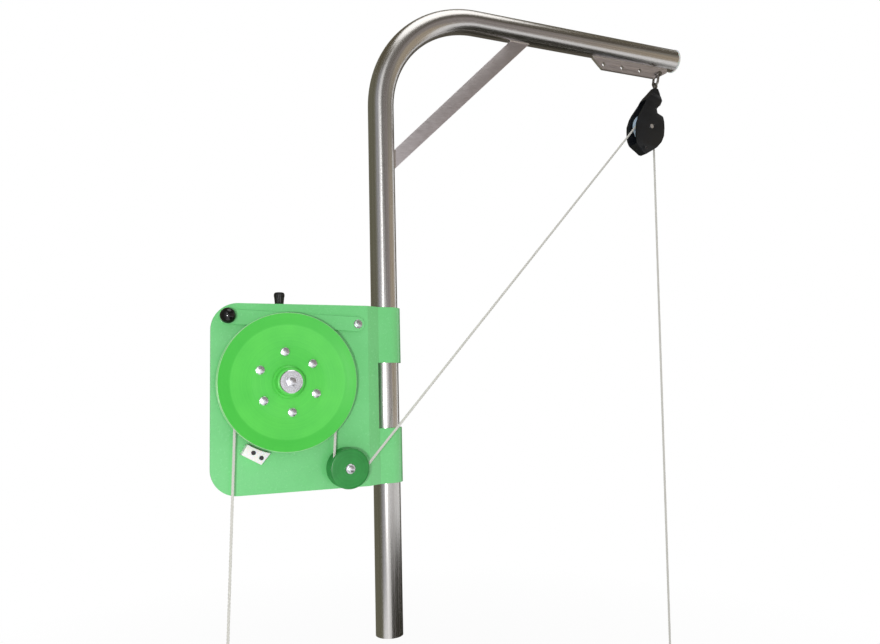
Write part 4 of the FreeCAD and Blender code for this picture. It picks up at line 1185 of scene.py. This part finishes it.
def floor():
    bm = bmesh.new()
    bmesh.ops.create_circle(bm, cap_ends=True, segments=64, radius=FLOOR_R,
                            matrix=Matrix.Translation((0.2, 0, FLOOR_Z)))
    paper, tree, shader = finish("pale paper floor", {"Roughness": 0.9, "Specular IOR Level": 0.0,
                                                      "Base Color": colour("#F6F6F5")})
    where = add(tree, "TexCoord").outputs["Object"]
    away = add(tree, "VectorMath", {0: where}, operation="LENGTH").outputs["Value"]
    fade = add(tree, "MapRange", {0: away, 1: 0.5, 2: 1.6, 3: 0.92, 4: 1.0}).outputs[0]
    seen = add(tree, "Math", {0: fade, 1: direct(tree)}, operation="MULTIPLY").outputs[0]
    white = add(tree, "Emission", {"Color": colour("#FFFFFF"), "Strength": 1.0})
    mixed = add(tree, "MixShader", {0: seen, 1: shader.outputs[0], 2: white.outputs[0]})
    tree.links.new(mixed.outputs[0], tree.nodes["Material Output"].inputs["Surface"])
    stage_piece("floor", bm, paper)


floor()

# %% [markdown]
# ## Dark cards
#
# Polished steel shows whatever stands round it, and in a white room it would look white. As in a
# studio, some dark cards stand round the machine. A studio image on the world would do the same,
# but cards are easy to tune one by one. Only reflections see them, and they cast no shadow.

# %% Dark cards
STAGE_R = 3.5
STAGE_TOP = 4.6
LOW = CAD_LOW.z - 2 * MM


def card_tone(code):
    """A card's own even tone, which no lamp changes."""
    tone, tree = finish("studio card " + code[1:], {})[:2]
    glow = add(tree, "Emission", {"Color": colour(code), "Strength": 1.0})
    tree.links.new(glow.outputs[0], tree.nodes["Material Output"].inputs["Surface"])
    return tone


def only_reflected(made):
    """Hide an object from every ray but those that leave a glossy surface."""
    for ray in ("camera", "diffuse", "transmission", "volume_scatter", "shadow"):
        setattr(made, "visible_" + ray, False)


def card(name, start, end, code, profile):
    """A card that stands round the machine. start and end are degrees from the camera's side,
    negative to the left, and profile gives radius and height in m."""
    bm = bmesh.new()
    aim = math.degrees(math.atan2(camera.location.y, camera.location.x))
    first = math.radians(aim + start)
    verts = [bm.verts.new((r * math.cos(first), r * math.sin(first), h)) for r, h in profile]
    edges = [bm.edges.new(pair) for pair in zip(verts, verts[1:])]
    bmesh.ops.spin(bm, geom=verts + edges, cent=(0, 0, 0), axis=(0, 0, 1),
                   angle=math.radians(end - start), steps=24)
    only_reflected(stage_piece(name, bm, card_tone(code)))


def upright(low, top=STAGE_TOP):
    """The profile of a card that stands on the edge of the stage."""
    return [(STAGE_R, low), (STAGE_R, top)]


card("card_left", -180, -48, "#747261", [(0.3, LOW)] + upright(LOW))
card("card_front_left", -48, -20, "#9E9EA2", [(1.0, LOW)] + upright(LOW))
card("card_front_right", 4, 28, "#7F7B77", upright(0.95))
card("card_right", 28, 60, "#938C89", upright(0.1, 2.9))
card("card_right_high", 28, 60, "#605A52", upright(2.9))
card("card_far_right", 60, 112, "#B1A490", upright(0.1, 2.1))
card("card_far_right_middle", 60, 112, "#8F8B83", upright(2.1, 2.9))
card("card_far_right_high", 60, 112, "#5C564C", upright(2.9))
card("card_right_floor", 20, 180, "#37352E", [(0.3, LOW), (2.2, LOW)])
card("card_behind", 128, 180, "#615C53", [(2.2, LOW)] + upright(LOW))
card("card_ceiling", 0, 360, "#645D4C", [(0.01, STAGE_TOP), (STAGE_R, STAGE_TOP)])

# %% [markdown]
# ## Lamps
#
# A small round lamp left of the camera draws a thin shadow beside the wheel and the lever, a strip
# lamp near it puts a line on round steel, and a wide lamp above gives gentle shade. One large lamp
# would be simpler, but it would draw neither the thin shadow nor the line.

# %% Lamps
def lamp(name, place, aim, size, power, height=0.0):
    """A round lamp, or an upright strip where a height is given."""
    data = bpy.data.lights.new(name, "AREA")
    data.shape = "RECTANGLE" if height else "DISK"
    data.size = size
    data.size_y = height or size
    data.energy = power
    made = in_scene(name, data)
    made.location = place
    made.rotation_euler = (Vector(aim) - Vector(place)).to_track_quat("-Z", "Y").to_euler()
    print(name, "at", place, "with", power, "W")


lamp("front_lamp", (-0.76, -1.66, 0.44), (0.0, 0.0, 0.7), 0.12, 10.5)
lamp("strip_lamp", (-1.08, -2.47, 0.95), (0.0, 0.0, 0.95), 0.2, 5, 2.2)
lamp("top_lamp", (0.3, -0.4, 3.2), (0.2, 0.0, 0.8), 2.0, 16)
bpy.context.scene.view_settings.view_transform = "Standard"
print("stage ready")
